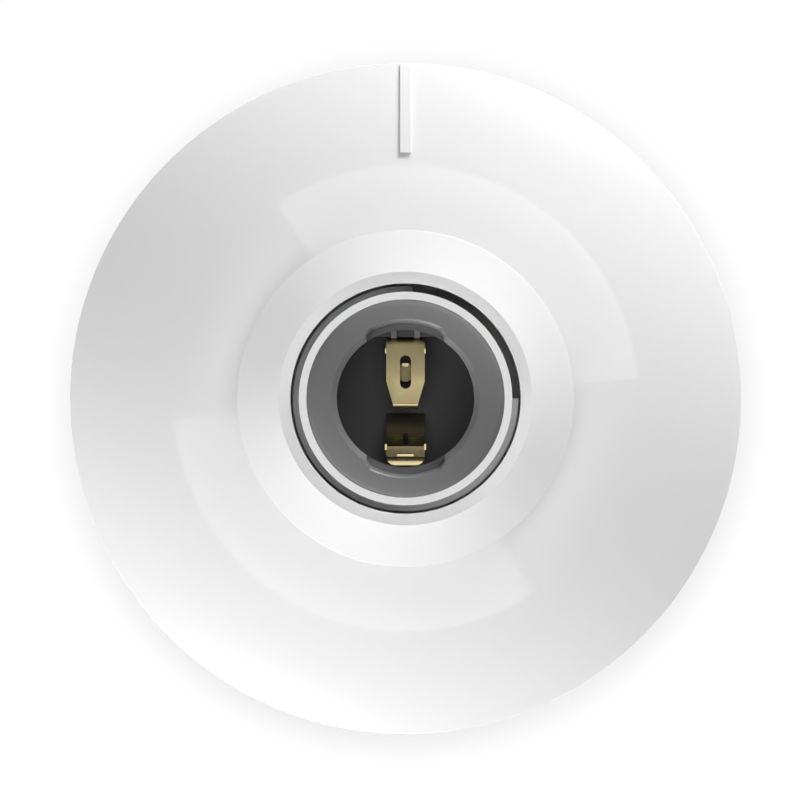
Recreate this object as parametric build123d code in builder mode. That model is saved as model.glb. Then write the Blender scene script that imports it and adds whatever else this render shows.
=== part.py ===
from build123d import *
import os
from math import cos, hypot, radians, sin, sqrt, tan

# Batten lampholder, in millimetres: z = 0 is the wall face, +Z points out of the wall.
# A round cover screws on the base's threaded tube, and the lamp socket sits inside that tube.

# Lamp socket moulding
core_radius = 16.9
core_floor = 3.0
chamber_radius = 12.0
chamber_depth = 8.5
lamp_bore_radius = 12.2
lamp_bore_length = 18.8
throat_width = 0.85
throat_height = 0.5
funnel_land = 0.4
notch_width = 12.2
notch_depth = 5.0
notch_reach = 0.87
notch_step = 0.46
lug_wall = 1.07
lug_gap = 3.07
lug_drop = 0.5

# Base moulding
core_clearance = 0.1
tube_wall = 1.3
tube_length = 21.0
tube_above_core = 0.5
lower_tube_wall = 2.6
seat_height = 21.0
flange_thickness = 2.4
flange_margin = 0.7
recess_depth = 5.6
web_thickness = 3.4
plate_thickness = 2.6
plate_gap = 2.0
plate_rim_wall = 1.8
plate_rim_height = 7.0
rib_wall = 1.6
rib_height = 6.0
rib_shoulder_radius = 28.0
rib_angles = (35.0, 145.0, 215.0, 325.0)
fixing_spacing = 76.0
fixing_slot_length = 14.0
fixing_slot_width = 4.5
fixing_pad_margin = 3.0
fixing_pad_height = 1.6
cable_entry_length = 13.0
cable_entry_width = 10.0
cable_entry_corner = 2.0
cable_entry_place = (18.0, 33.0)
cable_lip_wall = 1.4
cable_lip_height = 1.2

# Terminals
terminal_distance = 31.0
pedestal_width = 11.0
pedestal_margin = 8.0
barrier_wall = 1.4
barrier_height = 3.8
strip_width = 7.0
strip_thickness = 0.8
strip_start = 2.2
strip_overhang = 5.0
strip_clearance = 0.25
window_clearance = 0.3
nut_size = 7.0
nut_thickness = 3.0
nut_clearance = 0.15
washer_size = 7.2
washer_thickness = 1.0
washer_clearance = 0.2
screw_radius = 1.95
screw_clearance = 0.05
strip_hole_clearance = 0.25
screw_head_radius = 3.4
screw_head_height = 2.4
screw_head_bevel = 0.4
screw_slot_width = 0.9
screw_slot_depth = 1.1
screw_past_nut = 1.6
screw_tip_room = 0.2

# Screws that hold the socket, driven from the back
core_screw_circle = 14.45
core_screw_radius = 1.45
core_screw_clearance = 0.05
core_screw_hole_clearance = 0.15
core_screw_grip = 9.0
core_screw_tip_room = 0.5
core_screw_head_radius = 2.7
core_screw_head_height = 1.8
core_screw_slot_width = 0.8
core_screw_slot_depth = 0.8
recess_clearance = 0.45

# Contacts, folded from brass strip and riveted through the socket floor
contact_width = 7.1
contact_thickness = 0.6
contact_bend = 0.85
centre_foot_start = 2.2
centre_fold_reach = 10.4
centre_fold_rise = 6.3
tongue_rise = 1.1
tongue_tip = -0.8
tongue_nose = 1.0
tongue_nose_drop = 0.8
tongue_tip_width = 4.6
tongue_taper_start = 3.06
tongue_slot_width = 1.95
tongue_slot_start = 1.75
tongue_slot_end = 7.66
side_foot_start = 7.6
side_fold = 1.5
side_knee = 8.5
side_knee_rise = 6.6
side_crest = 10.3
side_crest_rise = 7.5
side_lip_reach = 1.35
side_lip_rise = 0.2
side_lip_corner = 1.25
side_slot_width = 1.0
side_slot_start = 6.2
side_slot_end = 8.2
side_slit_width = 3.07
side_slit_length = 0.5
side_slit_place = 9.95
centre_nib_place = 8.5
side_nib_place = 9.0
nib_length = 0.9
nib_proud = 0.2
lug_clearance = 0.25
centre_rivet_place = 4.5
side_rivet_place = 5.4
rivet_radius = 1.0
rivet_clearance = 0.05
rivet_head_radius = 1.5
rivet_head_edge = 0.3
rivet_head_height = 0.9
rivet_tail_radius = 1.6
rivet_tail_height = 0.8
rivet_tail_room = 0.4

# Cover moulding
cover_radius = 60.0
cover_wall = 2.2
cover_edge_gap = 0.4
skirt_height = 12.6
rim_slope = 32.0
brim_inner_slope = 18.7
crease_radius = 41.2
crown_slope = 18.7
crown_inner_slope = 2.0
neck_radius = 29.2
neck_rise = 9.3
cone_rise = 3.4
lip_width = 2.0
collar_wall = 2.4
thread_depth = 1.35
thread_clearance = 0.25
rim_rounding = 0.8
neck_rounding = 0.5
collar_web_count = 6
collar_web_wall = 1.6
bar_width = 2.05
bar_proud = 0.5
bar_crease_margin = 2.2
bar_rim_margin = 0.3

# Levels and radii that follow from the sizes above
web_top = recess_depth + web_thickness
floor_top = web_top + core_floor
chamber_top = floor_top + chamber_depth
bore_top = chamber_top + lamp_bore_length
throat_top = bore_top + throat_height
tube_top = seat_height + tube_length
core_top = tube_top - tube_above_core
tube_inner_radius = core_radius + core_clearance
tube_radius = tube_inner_radius + tube_wall
lower_tube_radius = tube_inner_radius + lower_tube_wall
cover_hole_radius = tube_radius + thread_depth + thread_clearance
collar_radius = cover_hole_radius + collar_wall
flange_radius = collar_radius + flange_margin
plate_radius = cover_radius - cover_wall - plate_gap
recess_radius = core_screw_circle + core_screw_head_radius + recess_clearance
notch_radius = lamp_bore_radius + notch_reach
notch_floor = bore_top - notch_depth
strip_bottom = web_top - strip_thickness
strip_end = terminal_distance + strip_overhang
pedestal_start = lower_tube_radius - lower_tube_wall / 2
pedestal_end = terminal_distance + pedestal_margin
barrier_top = strip_bottom + barrier_height
nut_bottom = strip_bottom - nut_thickness
screw_tip = nut_bottom - screw_past_nut
washer_top = web_top + washer_thickness
screw_top = washer_top + screw_head_height
contact_top = floor_top + contact_thickness
rivet_places = {1: centre_rivet_place, -1: -side_rivet_place}
sides = (1, -1)
edge_match = 0.01


def radial_plane(angle):
    """Upright plane through the Z axis, with local x outwards at an angle and local y along +Z."""
    outwards = (cos(radians(angle)), sin(radians(angle)), 0)
    across = (sin(radians(angle)), -cos(radians(angle)), 0)
    return Plane(origin=(0, 0, 0), x_dir=outwards, z_dir=across)


def ring_edges(part, radius, height):
    """Round edges about the Z axis with one radius at one height."""
    rings = part.edges().filter_by(GeomType.CIRCLE)
    return rings.filter_by(
        lambda edge: abs(edge.radius - radius) < edge_match and abs(edge.arc_center.Z - height) < edge_match
    )


def height_on_line(start, end, place):
    """Height at a place on the straight run between two (place, height) points."""
    return start[1] + (end[1] - start[1]) * (place - start[0]) / (end[0] - start[0])


# Cover: the brim and crown are two arcs that run into each other
skirt_top = cover_edge_gap + skirt_height
brim_run = cover_radius - crease_radius
brim_rise = brim_run * tan(radians((rim_slope + brim_inner_slope) / 2))
crown_rise = (crease_radius - neck_radius) * tan(radians((crown_slope + crown_inner_slope) / 2))
crease_height = skirt_top + brim_rise
crown_height = crease_height + crown_rise
neck_top = crown_height + neck_rise
lip_height = neck_top + cone_rise
lip_radius = cover_hole_radius + lip_width
neck_inner_radius = neck_radius - cover_wall
cone_slope = cone_rise / (neck_radius - lip_radius)
cone_wall_drop = cover_wall * hypot(1, cone_slope)
brim_half_turn = radians(rim_slope - brim_inner_slope) / 2
brim_arc_radius = hypot(brim_run, brim_rise) / (2 * sin(brim_half_turn))
brim_arc_centre = cover_radius - brim_arc_radius * sin(radians(rim_slope))
brim_arc_level = skirt_top - brim_arc_radius * cos(radians(rim_slope))
crease_slope = (crown_slope + brim_inner_slope) / 2
rim_direction = (-cos(radians(rim_slope)), sin(radians(rim_slope)))
crown_direction = (-cos(radians(crown_slope)), sin(radians(crown_slope)))
crease_inside = (
    crease_radius - cover_wall * sin(radians(crease_slope)),
    crease_height - cover_wall * cos(radians(crease_slope)),
)
skirt_inside = (
    cover_radius - cover_wall,
    skirt_top + cover_wall * (tan(radians(rim_slope)) - 1 / cos(radians(rim_slope))),
)
crown_inside = (
    neck_inner_radius,
    crown_height + cover_wall * (tan(radians(crown_inner_slope)) - 1 / cos(radians(crown_inner_slope))),
)


def cone_height(radius):
    """Height of the neck's sloping top face at a radius."""
    return neck_top + (neck_radius - radius) * cone_slope


def brim_point(radius, proud):
    """Point of the brim's arc at a radius, raised by an amount along the arc's own radius."""
    arc_radius = brim_arc_radius + proud
    return (radius, brim_arc_level + sqrt(arc_radius**2 - (radius - brim_arc_centre) ** 2))


with BuildPart() as cover:
    with BuildSketch(Plane.XZ):
        with BuildLine():
            TangentArc((cover_radius, skirt_top), (crease_radius, crease_height), tangent=rim_direction)
            TangentArc((crease_radius, crease_height), (neck_radius, crown_height), tangent=crown_direction)
            Polyline(
                (neck_radius, crown_height),
                (neck_radius, neck_top),
                (lip_radius, lip_height),
                (cover_hole_radius, lip_height),
                (cover_hole_radius, seat_height),
                (collar_radius, seat_height),
                (collar_radius, cone_height(collar_radius) - cone_wall_drop),
                (neck_inner_radius, cone_height(neck_inner_radius) - cone_wall_drop),
                crown_inside,
            )
            TangentArc(crease_inside, crown_inside, tangent=crown_direction)
            TangentArc(skirt_inside, crease_inside, tangent=rim_direction)
            Polyline(
                skirt_inside,
                (cover_radius - cover_wall, cover_edge_gap),
                (cover_radius, cover_edge_gap),
                (cover_radius, skirt_top),
            )
        make_face()
    revolve(axis=Axis.Z)
    fillet(ring_edges(cover, cover_radius, skirt_top), rim_rounding)
    fillet(ring_edges(cover, neck_radius, neck_top), neck_rounding)
    for index in range(collar_web_count):
        web_inner = collar_radius - collar_wall / 2
        web_outer = neck_radius - cover_wall / 2
        with BuildSketch(radial_plane((index + 0.5) * 360 / collar_web_count)):
            with BuildLine():
                Polyline(
                    (web_inner, crown_height),
                    (web_outer, crown_height),
                    (web_outer, cone_height(web_outer) - cone_wall_drop / 2),
                    (web_inner, cone_height(web_inner) - cone_wall_drop / 2),
                    close=True,
                )
            make_face()
        extrude(amount=collar_web_wall / 2, both=True)
    bar_start_radius = crease_radius + bar_crease_margin
    bar_end_radius = cover_radius - bar_rim_margin
    bar_stations = (bar_start_radius, (bar_start_radius + bar_end_radius) / 2, bar_end_radius)
    with BuildSketch(Plane.YZ):
        with BuildLine():
            bar_top = ThreePointArc(*(brim_point(radius, bar_proud) for radius in bar_stations))
            bar_root = ThreePointArc(*(brim_point(radius, -cover_wall / 2) for radius in bar_stations))
            Line(bar_top @ 0, bar_root @ 0)
            Line(bar_top @ 1, bar_root @ 1)
        make_face()
    extrude(amount=bar_width / 2, both=True)

# Base: plate, rim, tube, cover seat and web are one turned section
with BuildPart() as base:
    with BuildSketch(Plane.XZ):
        with BuildLine():
            Polyline(
                (0, recess_depth),
                (recess_radius, recess_depth),
                (recess_radius, 0),
                (plate_radius, 0),
                (plate_radius, plate_rim_height),
                (plate_radius - plate_rim_wall, plate_rim_height),
                (plate_radius - plate_rim_wall, plate_thickness),
                (lower_tube_radius, plate_thickness),
                (lower_tube_radius, seat_height - flange_thickness),
                (flange_radius, seat_height - flange_thickness),
                (flange_radius, seat_height),
                (tube_radius, seat_height),
                (tube_radius, tube_top),
                (tube_inner_radius, tube_top),
                (tube_inner_radius, web_top),
                (0, web_top),
                close=True,
            )
        make_face()
    revolve(axis=Axis.Z)
    for angle in rib_angles:
        with BuildSketch(radial_plane(angle)):
            with BuildLine():
                Polyline(
                    (pedestal_start, plate_thickness / 2),
                    (plate_radius - plate_rim_wall / 2, plate_thickness / 2),
                    (plate_radius - plate_rim_wall / 2, rib_height),
                    (rib_shoulder_radius, rib_height),
                    (flange_radius, seat_height - flange_thickness),
                    (pedestal_start, seat_height - flange_thickness),
                    close=True,
                )
            make_face()
        extrude(amount=rib_wall / 2, both=True)
    with BuildSketch(Plane.XY):
        with Locations(*((0, side * (pedestal_start + pedestal_end) / 2) for side in sides)):
            Rectangle(pedestal_width, pedestal_end - pedestal_start)
    extrude(amount=strip_bottom)
    barrier_place = (pedestal_width + barrier_wall) / 2
    with BuildSketch(Plane.XY):
        with GridLocations(2 * barrier_place, pedestal_start + pedestal_end, 2, 2):
            Rectangle(barrier_wall, pedestal_end - pedestal_start)
    extrude(amount=barrier_top)
    with BuildSketch(Plane.XY):
        with GridLocations(fixing_spacing, 0, 2, 1):
            SlotOverall(
                fixing_slot_length + 2 * fixing_pad_margin,
                fixing_slot_width + 2 * fixing_pad_margin,
            )
    extrude(amount=plate_thickness + fixing_pad_height)
    entry_places = [(side * cable_entry_place[0], side * cable_entry_place[1]) for side in sides]
    with BuildSketch(Plane.XY):
        with Locations(*entry_places):
            RectangleRounded(
                cable_entry_length + 2 * cable_lip_wall,
                cable_entry_width + 2 * cable_lip_wall,
                cable_entry_corner + cable_lip_wall,
            )
    extrude(amount=plate_thickness + cable_lip_height)
    with BuildSketch(Plane.XY):
        with GridLocations(fixing_spacing, 0, 2, 1):
            SlotOverall(fixing_slot_length, fixing_slot_width)
        with Locations(*entry_places):
            RectangleRounded(cable_entry_length, cable_entry_width, cable_entry_corner)
    extrude(amount=plate_thickness + fixing_pad_height + cable_lip_height, mode=Mode.SUBTRACT)
    channel_start = strip_start - strip_clearance
    with BuildSketch(Plane.XY.offset(strip_bottom)):
        with Locations(*((0, side * (channel_start + pedestal_end) / 2) for side in sides)):
            Rectangle(strip_width + 2 * strip_clearance, pedestal_end - channel_start)
    extrude(amount=strip_thickness + window_clearance, mode=Mode.SUBTRACT)
    terminal_places = [(0, side * terminal_distance) for side in sides]
    with BuildSketch(Plane.XY.offset(strip_bottom)):
        with Locations(*terminal_places):
            Rectangle(nut_size + 2 * nut_clearance, nut_size + 2 * nut_clearance)
    extrude(amount=-nut_thickness, mode=Mode.SUBTRACT)
    with BuildSketch(Plane.XY.offset(nut_bottom)):
        with Locations(*terminal_places):
            Circle(screw_radius + strip_hole_clearance)
    extrude(amount=-(screw_past_nut + screw_tip_room), mode=Mode.SUBTRACT)
    with BuildSketch(Plane.XY.offset(strip_bottom)):
        with Locations(*((0, place) for place in rivet_places.values())):
            Circle(rivet_tail_radius + rivet_tail_room)
    extrude(amount=-(rivet_tail_height + rivet_tail_room), mode=Mode.SUBTRACT)
    with BuildSketch(Plane.XY.offset(recess_depth)):
        with PolarLocations(core_screw_circle, 2):
            Circle(core_screw_radius + core_screw_hole_clearance)
    extrude(amount=web_thickness, mode=Mode.SUBTRACT)

# Lamp socket: a deep cup with a lead-in funnel and two notches over the contacts
with BuildPart() as socket_core:
    with BuildSketch(Plane.XZ):
        with BuildLine():
            Polyline(
                (0, web_top),
                (core_radius, web_top),
                (core_radius, core_top),
                (core_radius - funnel_land, core_top),
                (lamp_bore_radius + throat_width, throat_top),
                (lamp_bore_radius, bore_top),
                (lamp_bore_radius, chamber_top),
                (chamber_radius, chamber_top),
                (chamber_radius, floor_top),
                (0, floor_top),
                close=True,
            )
        make_face()
    revolve(axis=Axis.Z)
    for level, reach in ((notch_floor, notch_radius), (bore_top, notch_radius + notch_step)):
        with BuildSketch(Plane.XY.offset(level)):
            Circle(reach)
            Rectangle(notch_width, 2 * reach, mode=Mode.INTERSECT)
        extrude(amount=core_top - level, mode=Mode.SUBTRACT)
    lug_start = centre_fold_reach + lug_clearance
    lug_end = chamber_radius + (core_radius - chamber_radius) / 4
    with BuildSketch(Plane.XY.offset(web_top + core_floor / 2)):
        for side in sides:
            with Locations((side * (lug_gap + lug_wall) / 2, (lug_start + lug_end) / 2)):
                Rectangle(lug_wall, lug_end - lug_start)
    extrude(amount=core_floor / 2 + chamber_depth - lug_drop)
    with BuildSketch(Plane.XY.offset(web_top)):
        with Locations(*((0, place) for place in rivet_places.values())):
            Circle(rivet_radius + rivet_clearance)
    extrude(amount=core_floor, mode=Mode.SUBTRACT)
    with BuildSketch(Plane.XY.offset(web_top)):
        with PolarLocations(core_screw_circle, 2):
            Circle(core_screw_radius + core_screw_clearance)
    extrude(amount=core_screw_grip + core_screw_tip_room, mode=Mode.SUBTRACT)


def strip_section(path):
    """Section of a folded strip in the YZ plane: its outer face's path, thickened inwards."""
    with BuildSketch(Plane.YZ) as section:
        with BuildLine():
            FilletPolyline(*path, radius=contact_bend)
            offset(amount=contact_thickness, side=Side.LEFT)
        make_face()
    return section.sketch


def nib_section(start, end, low, high):
    """Section of a small side nib that lies within one straight run of a strip, below its upper face."""
    with BuildSketch(Plane.YZ) as section:
        with BuildLine():
            Polyline(
                (low, height_on_line(start, end, low)),
                (high, height_on_line(start, end, high)),
                (high, height_on_line(start, end, high) - contact_thickness),
                (low, height_on_line(start, end, low) - contact_thickness),
                close=True,
            )
        make_face()
    return section.sketch


# Centre contact: riveted foot, riser, fold and a slotted spring tongue with a bent nose
contact_cut_depth = chamber_depth / 2
fold_corner = (centre_fold_reach, floor_top + centre_fold_rise)
tongue_corner = (tongue_tip, fold_corner[1] + tongue_rise)
centre_path = (
    (centre_foot_start, floor_top),
    (centre_fold_reach, floor_top),
    fold_corner,
    tongue_corner,
    (tongue_tip - tongue_nose, tongue_corner[1] - tongue_nose_drop),
)

with BuildPart() as centre_contact:
    extrude(strip_section(centre_path), amount=contact_width / 2, both=True)
    centre_nib = nib_section(
        fold_corner, tongue_corner, centre_nib_place - nib_length / 2, centre_nib_place + nib_length / 2
    )
    extrude(centre_nib, amount=contact_width / 2 + nib_proud, both=True)
    with BuildSketch(Plane.XY.offset(chamber_top)):
        with Locations((0, (tongue_slot_start + tongue_slot_end) / 2)):
            SlotOverall(tongue_slot_end - tongue_slot_start, tongue_slot_width, rotation=90)
        for side in sides:
            with BuildLine():
                Polyline(
                    (side * contact_width / 2, tongue_taper_start),
                    (side * tongue_tip_width / 2, tongue_tip),
                    (side * tongue_tip_width / 2, tongue_tip - 2 * tongue_nose),
                    (side * contact_width, tongue_tip - 2 * tongue_nose),
                    (side * contact_width, tongue_taper_start),
                    close=True,
                )
            make_face()
    extrude(amount=-contact_cut_depth, mode=Mode.SUBTRACT)
    with BuildSketch(Plane.XY.offset(floor_top)):
        with Locations((0, centre_rivet_place)):
            Circle(rivet_radius + rivet_clearance)
    extrude(amount=contact_thickness, mode=Mode.SUBTRACT)

# Side contact: riveted foot under a ramp that folds back over it, and a rolled lip for the lamp's shell
knee_corner = (-side_knee, floor_top + side_knee_rise)
crest_corner = (-side_crest, floor_top + side_crest_rise)
side_path = (
    (-side_foot_start, floor_top),
    (-side_fold, floor_top),
    knee_corner,
    crest_corner,
    (-side_crest - side_lip_reach, crest_corner[1] + side_lip_rise),
)
side_lip_end = side_crest + side_lip_reach

with BuildPart() as side_contact:
    extrude(strip_section(side_path), amount=contact_width / 2, both=True)
    with BuildSketch(Plane.XY.offset(floor_top)) as side_outline:
        with Locations((0, -side_lip_end / 2)):
            Rectangle(contact_width, side_lip_end)
        fillet(side_outline.vertices().group_by(Axis.Y)[0], side_lip_corner)
    extrude(amount=chamber_depth, mode=Mode.INTERSECT)
    side_nib = nib_section(
        knee_corner, crest_corner, -side_nib_place - nib_length / 2, -side_nib_place + nib_length / 2
    )
    extrude(side_nib, amount=contact_width / 2 + nib_proud, both=True)
    with BuildSketch(Plane.XY.offset(chamber_top)):
        with Locations((0, -(side_slot_start + side_slot_end) / 2)):
            Rectangle(side_slot_width, side_slot_end - side_slot_start)
        with Locations((0, -side_slit_place)):
            Rectangle(side_slit_width, side_slit_length)
    extrude(amount=-(chamber_depth - 2 * contact_thickness), mode=Mode.SUBTRACT)
    with BuildSketch(Plane.XY.offset(floor_top)):
        with Locations((0, -side_rivet_place)):
            Circle(rivet_radius + rivet_clearance)
    extrude(amount=contact_thickness, mode=Mode.SUBTRACT)

# Screws that hold the socket from the back, both in one piece of work
with BuildPart() as core_screws:
    with BuildSketch(Plane.XY.offset(recess_depth)):
        with PolarLocations(core_screw_circle, 2):
            Circle(core_screw_radius)
    extrude(amount=web_thickness + core_screw_grip)
    with BuildSketch(Plane.XY.offset(recess_depth)):
        with PolarLocations(core_screw_circle, 2):
            Circle(core_screw_head_radius)
    extrude(amount=-core_screw_head_height)
    with BuildSketch(Plane.XY.offset(recess_depth - core_screw_head_height)):
        with PolarLocations(core_screw_circle, 2):
            Rectangle(core_screw_slot_width, 2 * core_screw_head_radius)
    extrude(amount=core_screw_slot_depth, mode=Mode.SUBTRACT)

os.makedirs("parts", exist_ok=True)
single_pieces = {
    "cover": cover,
    "base": base,
    "socket_core": socket_core,
    "centre_contact": centre_contact,
    "side_contact": side_contact,
    "core_screws": core_screws,
}
for label, piece in single_pieces.items():
    piece.part.label = label
    export_step(piece.part, f"parts/{label}.step")

# Rivets: a round head on the contact's foot and a formed tail under the terminal strip
for label, side in (("centre_contact_rivet", 1), ("side_contact_rivet", -1)):
    rivet_axis = Axis((0, rivet_places[side], 0), (0, 0, 1))
    with BuildPart() as rivet:
        with BuildSketch(Plane(origin=rivet_axis.position, x_dir=(1, 0, 0), z_dir=(0, -1, 0))):
            with BuildLine():
                TangentArc(
                    (0, contact_top + rivet_head_height),
                    (rivet_head_radius, contact_top + rivet_head_edge),
                    tangent=(1, 0),
                )
                Polyline(
                    (rivet_head_radius, contact_top + rivet_head_edge),
                    (rivet_head_radius, contact_top),
                    (rivet_radius, contact_top),
                    (rivet_radius, strip_bottom),
                    (rivet_tail_radius, strip_bottom),
                    (rivet_tail_radius, strip_bottom - rivet_tail_height),
                    (0, strip_bottom - rivet_tail_height),
                    (0, contact_top + rivet_head_height),
                )
            make_face()
        revolve(axis=rivet_axis)
    rivet.part.label = label
    export_step(rivet.part, f"parts/{label}.step")

# Terminals: strip, captive square nut, clamp washer and slotted screw, one set on each side
for name, side in (("live", 1), ("neutral", -1)):
    terminal_place = (0, side * terminal_distance)
    with BuildPart() as terminal_strip:
        with BuildSketch(Plane.XY.offset(strip_bottom)):
            with Locations((0, side * (strip_start + strip_end) / 2)):
                Rectangle(strip_width, strip_end - strip_start)
            with Locations((0, rivet_places[side])):
                Circle(rivet_radius + rivet_clearance, mode=Mode.SUBTRACT)
            with Locations(terminal_place):
                Circle(screw_radius + strip_hole_clearance, mode=Mode.SUBTRACT)
        extrude(amount=strip_thickness)
    with BuildPart() as terminal_nut:
        with BuildSketch(Plane.XY.offset(nut_bottom)):
            with Locations(terminal_place):
                Rectangle(nut_size, nut_size)
                Circle(screw_radius + screw_clearance, mode=Mode.SUBTRACT)
        extrude(amount=nut_thickness)
    with BuildPart() as clamp_washer:
        with BuildSketch(Plane.XY.offset(web_top)):
            with Locations(terminal_place):
                Rectangle(washer_size, washer_size)
                Circle(screw_radius + washer_clearance, mode=Mode.SUBTRACT)
        extrude(amount=washer_thickness)
    with BuildPart() as terminal_screw:
        with BuildSketch(Plane.XY.offset(screw_tip)):
            with Locations(terminal_place):
                Circle(screw_radius)
        extrude(amount=washer_top - screw_tip)
        with BuildSketch(Plane.XY.offset(washer_top)):
            with Locations(terminal_place):
                Circle(screw_head_radius)
        extrude(amount=screw_head_height)
        chamfer(terminal_screw.edges().group_by(Axis.Z)[-1], screw_head_bevel)
        with BuildSketch(Plane.XY.offset(screw_top)):
            with Locations(terminal_place):
                Rectangle(2 * screw_head_radius, screw_slot_width)
        extrude(amount=-screw_slot_depth, mode=Mode.SUBTRACT)
    terminal_pieces = {
        f"{name}_terminal_strip": terminal_strip,
        f"{name}_terminal_nut": terminal_nut,
        f"{name}_clamp_washer": clamp_washer,
        f"{name}_terminal_screw": terminal_screw,
    }
    for label, piece in terminal_pieces.items():
        piece.part.label = label
        export_step(piece.part, f"parts/{label}.step")
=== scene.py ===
"""Dresses the batten lampholder and sets it on a white floor under plain studio light."""

import logging
from dataclasses import dataclass
from enum import Enum
from math import asin, ceil, cos, degrees, hypot, pi, radians, sin, tan

import bmesh
import bpy
from mathutils import Matrix, Vector


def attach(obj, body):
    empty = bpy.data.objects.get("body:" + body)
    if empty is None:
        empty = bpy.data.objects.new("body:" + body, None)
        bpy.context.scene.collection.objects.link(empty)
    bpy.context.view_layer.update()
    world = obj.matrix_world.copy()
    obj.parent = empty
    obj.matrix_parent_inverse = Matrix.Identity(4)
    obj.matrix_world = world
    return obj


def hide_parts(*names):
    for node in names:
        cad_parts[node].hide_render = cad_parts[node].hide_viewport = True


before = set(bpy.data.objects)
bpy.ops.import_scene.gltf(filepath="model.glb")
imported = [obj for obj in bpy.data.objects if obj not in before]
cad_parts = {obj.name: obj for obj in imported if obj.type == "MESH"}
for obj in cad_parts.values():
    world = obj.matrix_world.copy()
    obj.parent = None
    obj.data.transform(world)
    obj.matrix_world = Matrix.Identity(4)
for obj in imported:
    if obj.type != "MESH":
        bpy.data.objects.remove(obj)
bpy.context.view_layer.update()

LOG = logging.getLogger("lampholder")
# Sizes are in millimetres and slopes and turns in degrees; MM makes metres of millimetres.
MM = 0.001
WELD = 0.002  # points closer than this become one
RELIEF = 0.02  # depth of a finish's grain
CLEAR = 1.0  # how far a cutter reaches past what it cuts
SHARP_ANGLE = radians(32)
FLAT_ANGLE = radians(1)
ROUNDING_ROOM = 0.48  # share of a side that one rounding may take
ROUNDING_GUARD = 0.3  # gap to the guard point beside a rounding, as a share of its reach
ARC_GUARD = 0.01  # gap to the guard points beside an arc's ends, as a share of the arc
WHITE = (1, 1, 1, 1)

Point = tuple[float, float]
Triple = tuple[float, float, float]


class Body(Enum):
    """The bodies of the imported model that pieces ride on."""

    BASE = "base"
    COVER = "cover"
    LIVE_SCREW = "live_screw"
    NEUTRAL_SCREW = "neutral_screw"


class Slot(Enum):
    """The record's material slots."""

    WHITE = "white_plastic"
    DARK = "dark_plastic"
    BRASS = "brass"
    STEEL = "zinc_steel"


class Carve(Enum):
    """What a cutter does to a piece."""

    CUT = "DIFFERENCE"
    KEEP = "INTERSECT"
    JOIN = "UNION"


class NodeGraph:
    """A node tree under construction, with short calls to add and join its nodes."""

    def __init__(self, tree: bpy.types.NodeTree) -> None:
        """Keep the tree that the nodes go into."""
        self.tree = tree

    def add(
        self, kind: str, inputs: dict[str | int, object] | None = None, **settings: object
    ) -> bpy.types.Node:
        """Add a node, set its options, and fill or join its inputs.

        Args:
            kind: Blender's name for the type of node.
            inputs: A value or another node's output for each input, by its name or number.
            **settings: The node's own options.

        Returns:
            The new node.
        """
        node = self.tree.nodes.new(kind)
        for option, value in settings.items():
            setattr(node, option, value)
        for place, value in (inputs or {}).items():
            if isinstance(value, bpy.types.NodeSocket):
                self.tree.links.new(value, node.inputs[place])
            else:
                node.inputs[place].default_value = value
        return node

    def math(self, operation: str, *values: object) -> bpy.types.NodeSocket:
        """Add a Math node.

        Args:
            operation: Blender's name for the sum to do.
            *values: Its operands, each a number or another node's output.

        Returns:
            The result's socket.
        """
        return self.add("ShaderNodeMath", dict(enumerate(values)), operation=operation).outputs[0]

    def ramp(self, value: object, low: object, high: object) -> bpy.types.NodeSocket:
        """Add a smooth step from 0 to 1.

        Args:
            value: What is stepped.
            low: Where the step starts.
            high: Where it has reached 1; below the start for a falling step.

        Returns:
            The result's socket.
        """
        inputs = {"Value": value, "From Min": low, "From Max": high}
        return self.add("ShaderNodeMapRange", inputs, interpolation_type="SMOOTHSTEP").outputs[0]

    def dot(self, first: object, second: object) -> bpy.types.NodeSocket:
        """Add the dot product of two vectors."""
        node = self.add("ShaderNodeVectorMath", {0: first, 1: second}, operation="DOT_PRODUCT")
        return node.outputs["Value"]

    def mix(self, share: object, first: object, second: object) -> bpy.types.NodeSocket:
        """Add a mix of two colours.

        Args:
            share: How much of the second colour there is.
            first: A colour with alpha, or another node's output.
            second: The other colour.

        Returns:
            The result's socket.
        """
        return self.add("ShaderNodeMix", {0: share, 6: first, 7: second}, data_type="RGBA").outputs[2]


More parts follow.
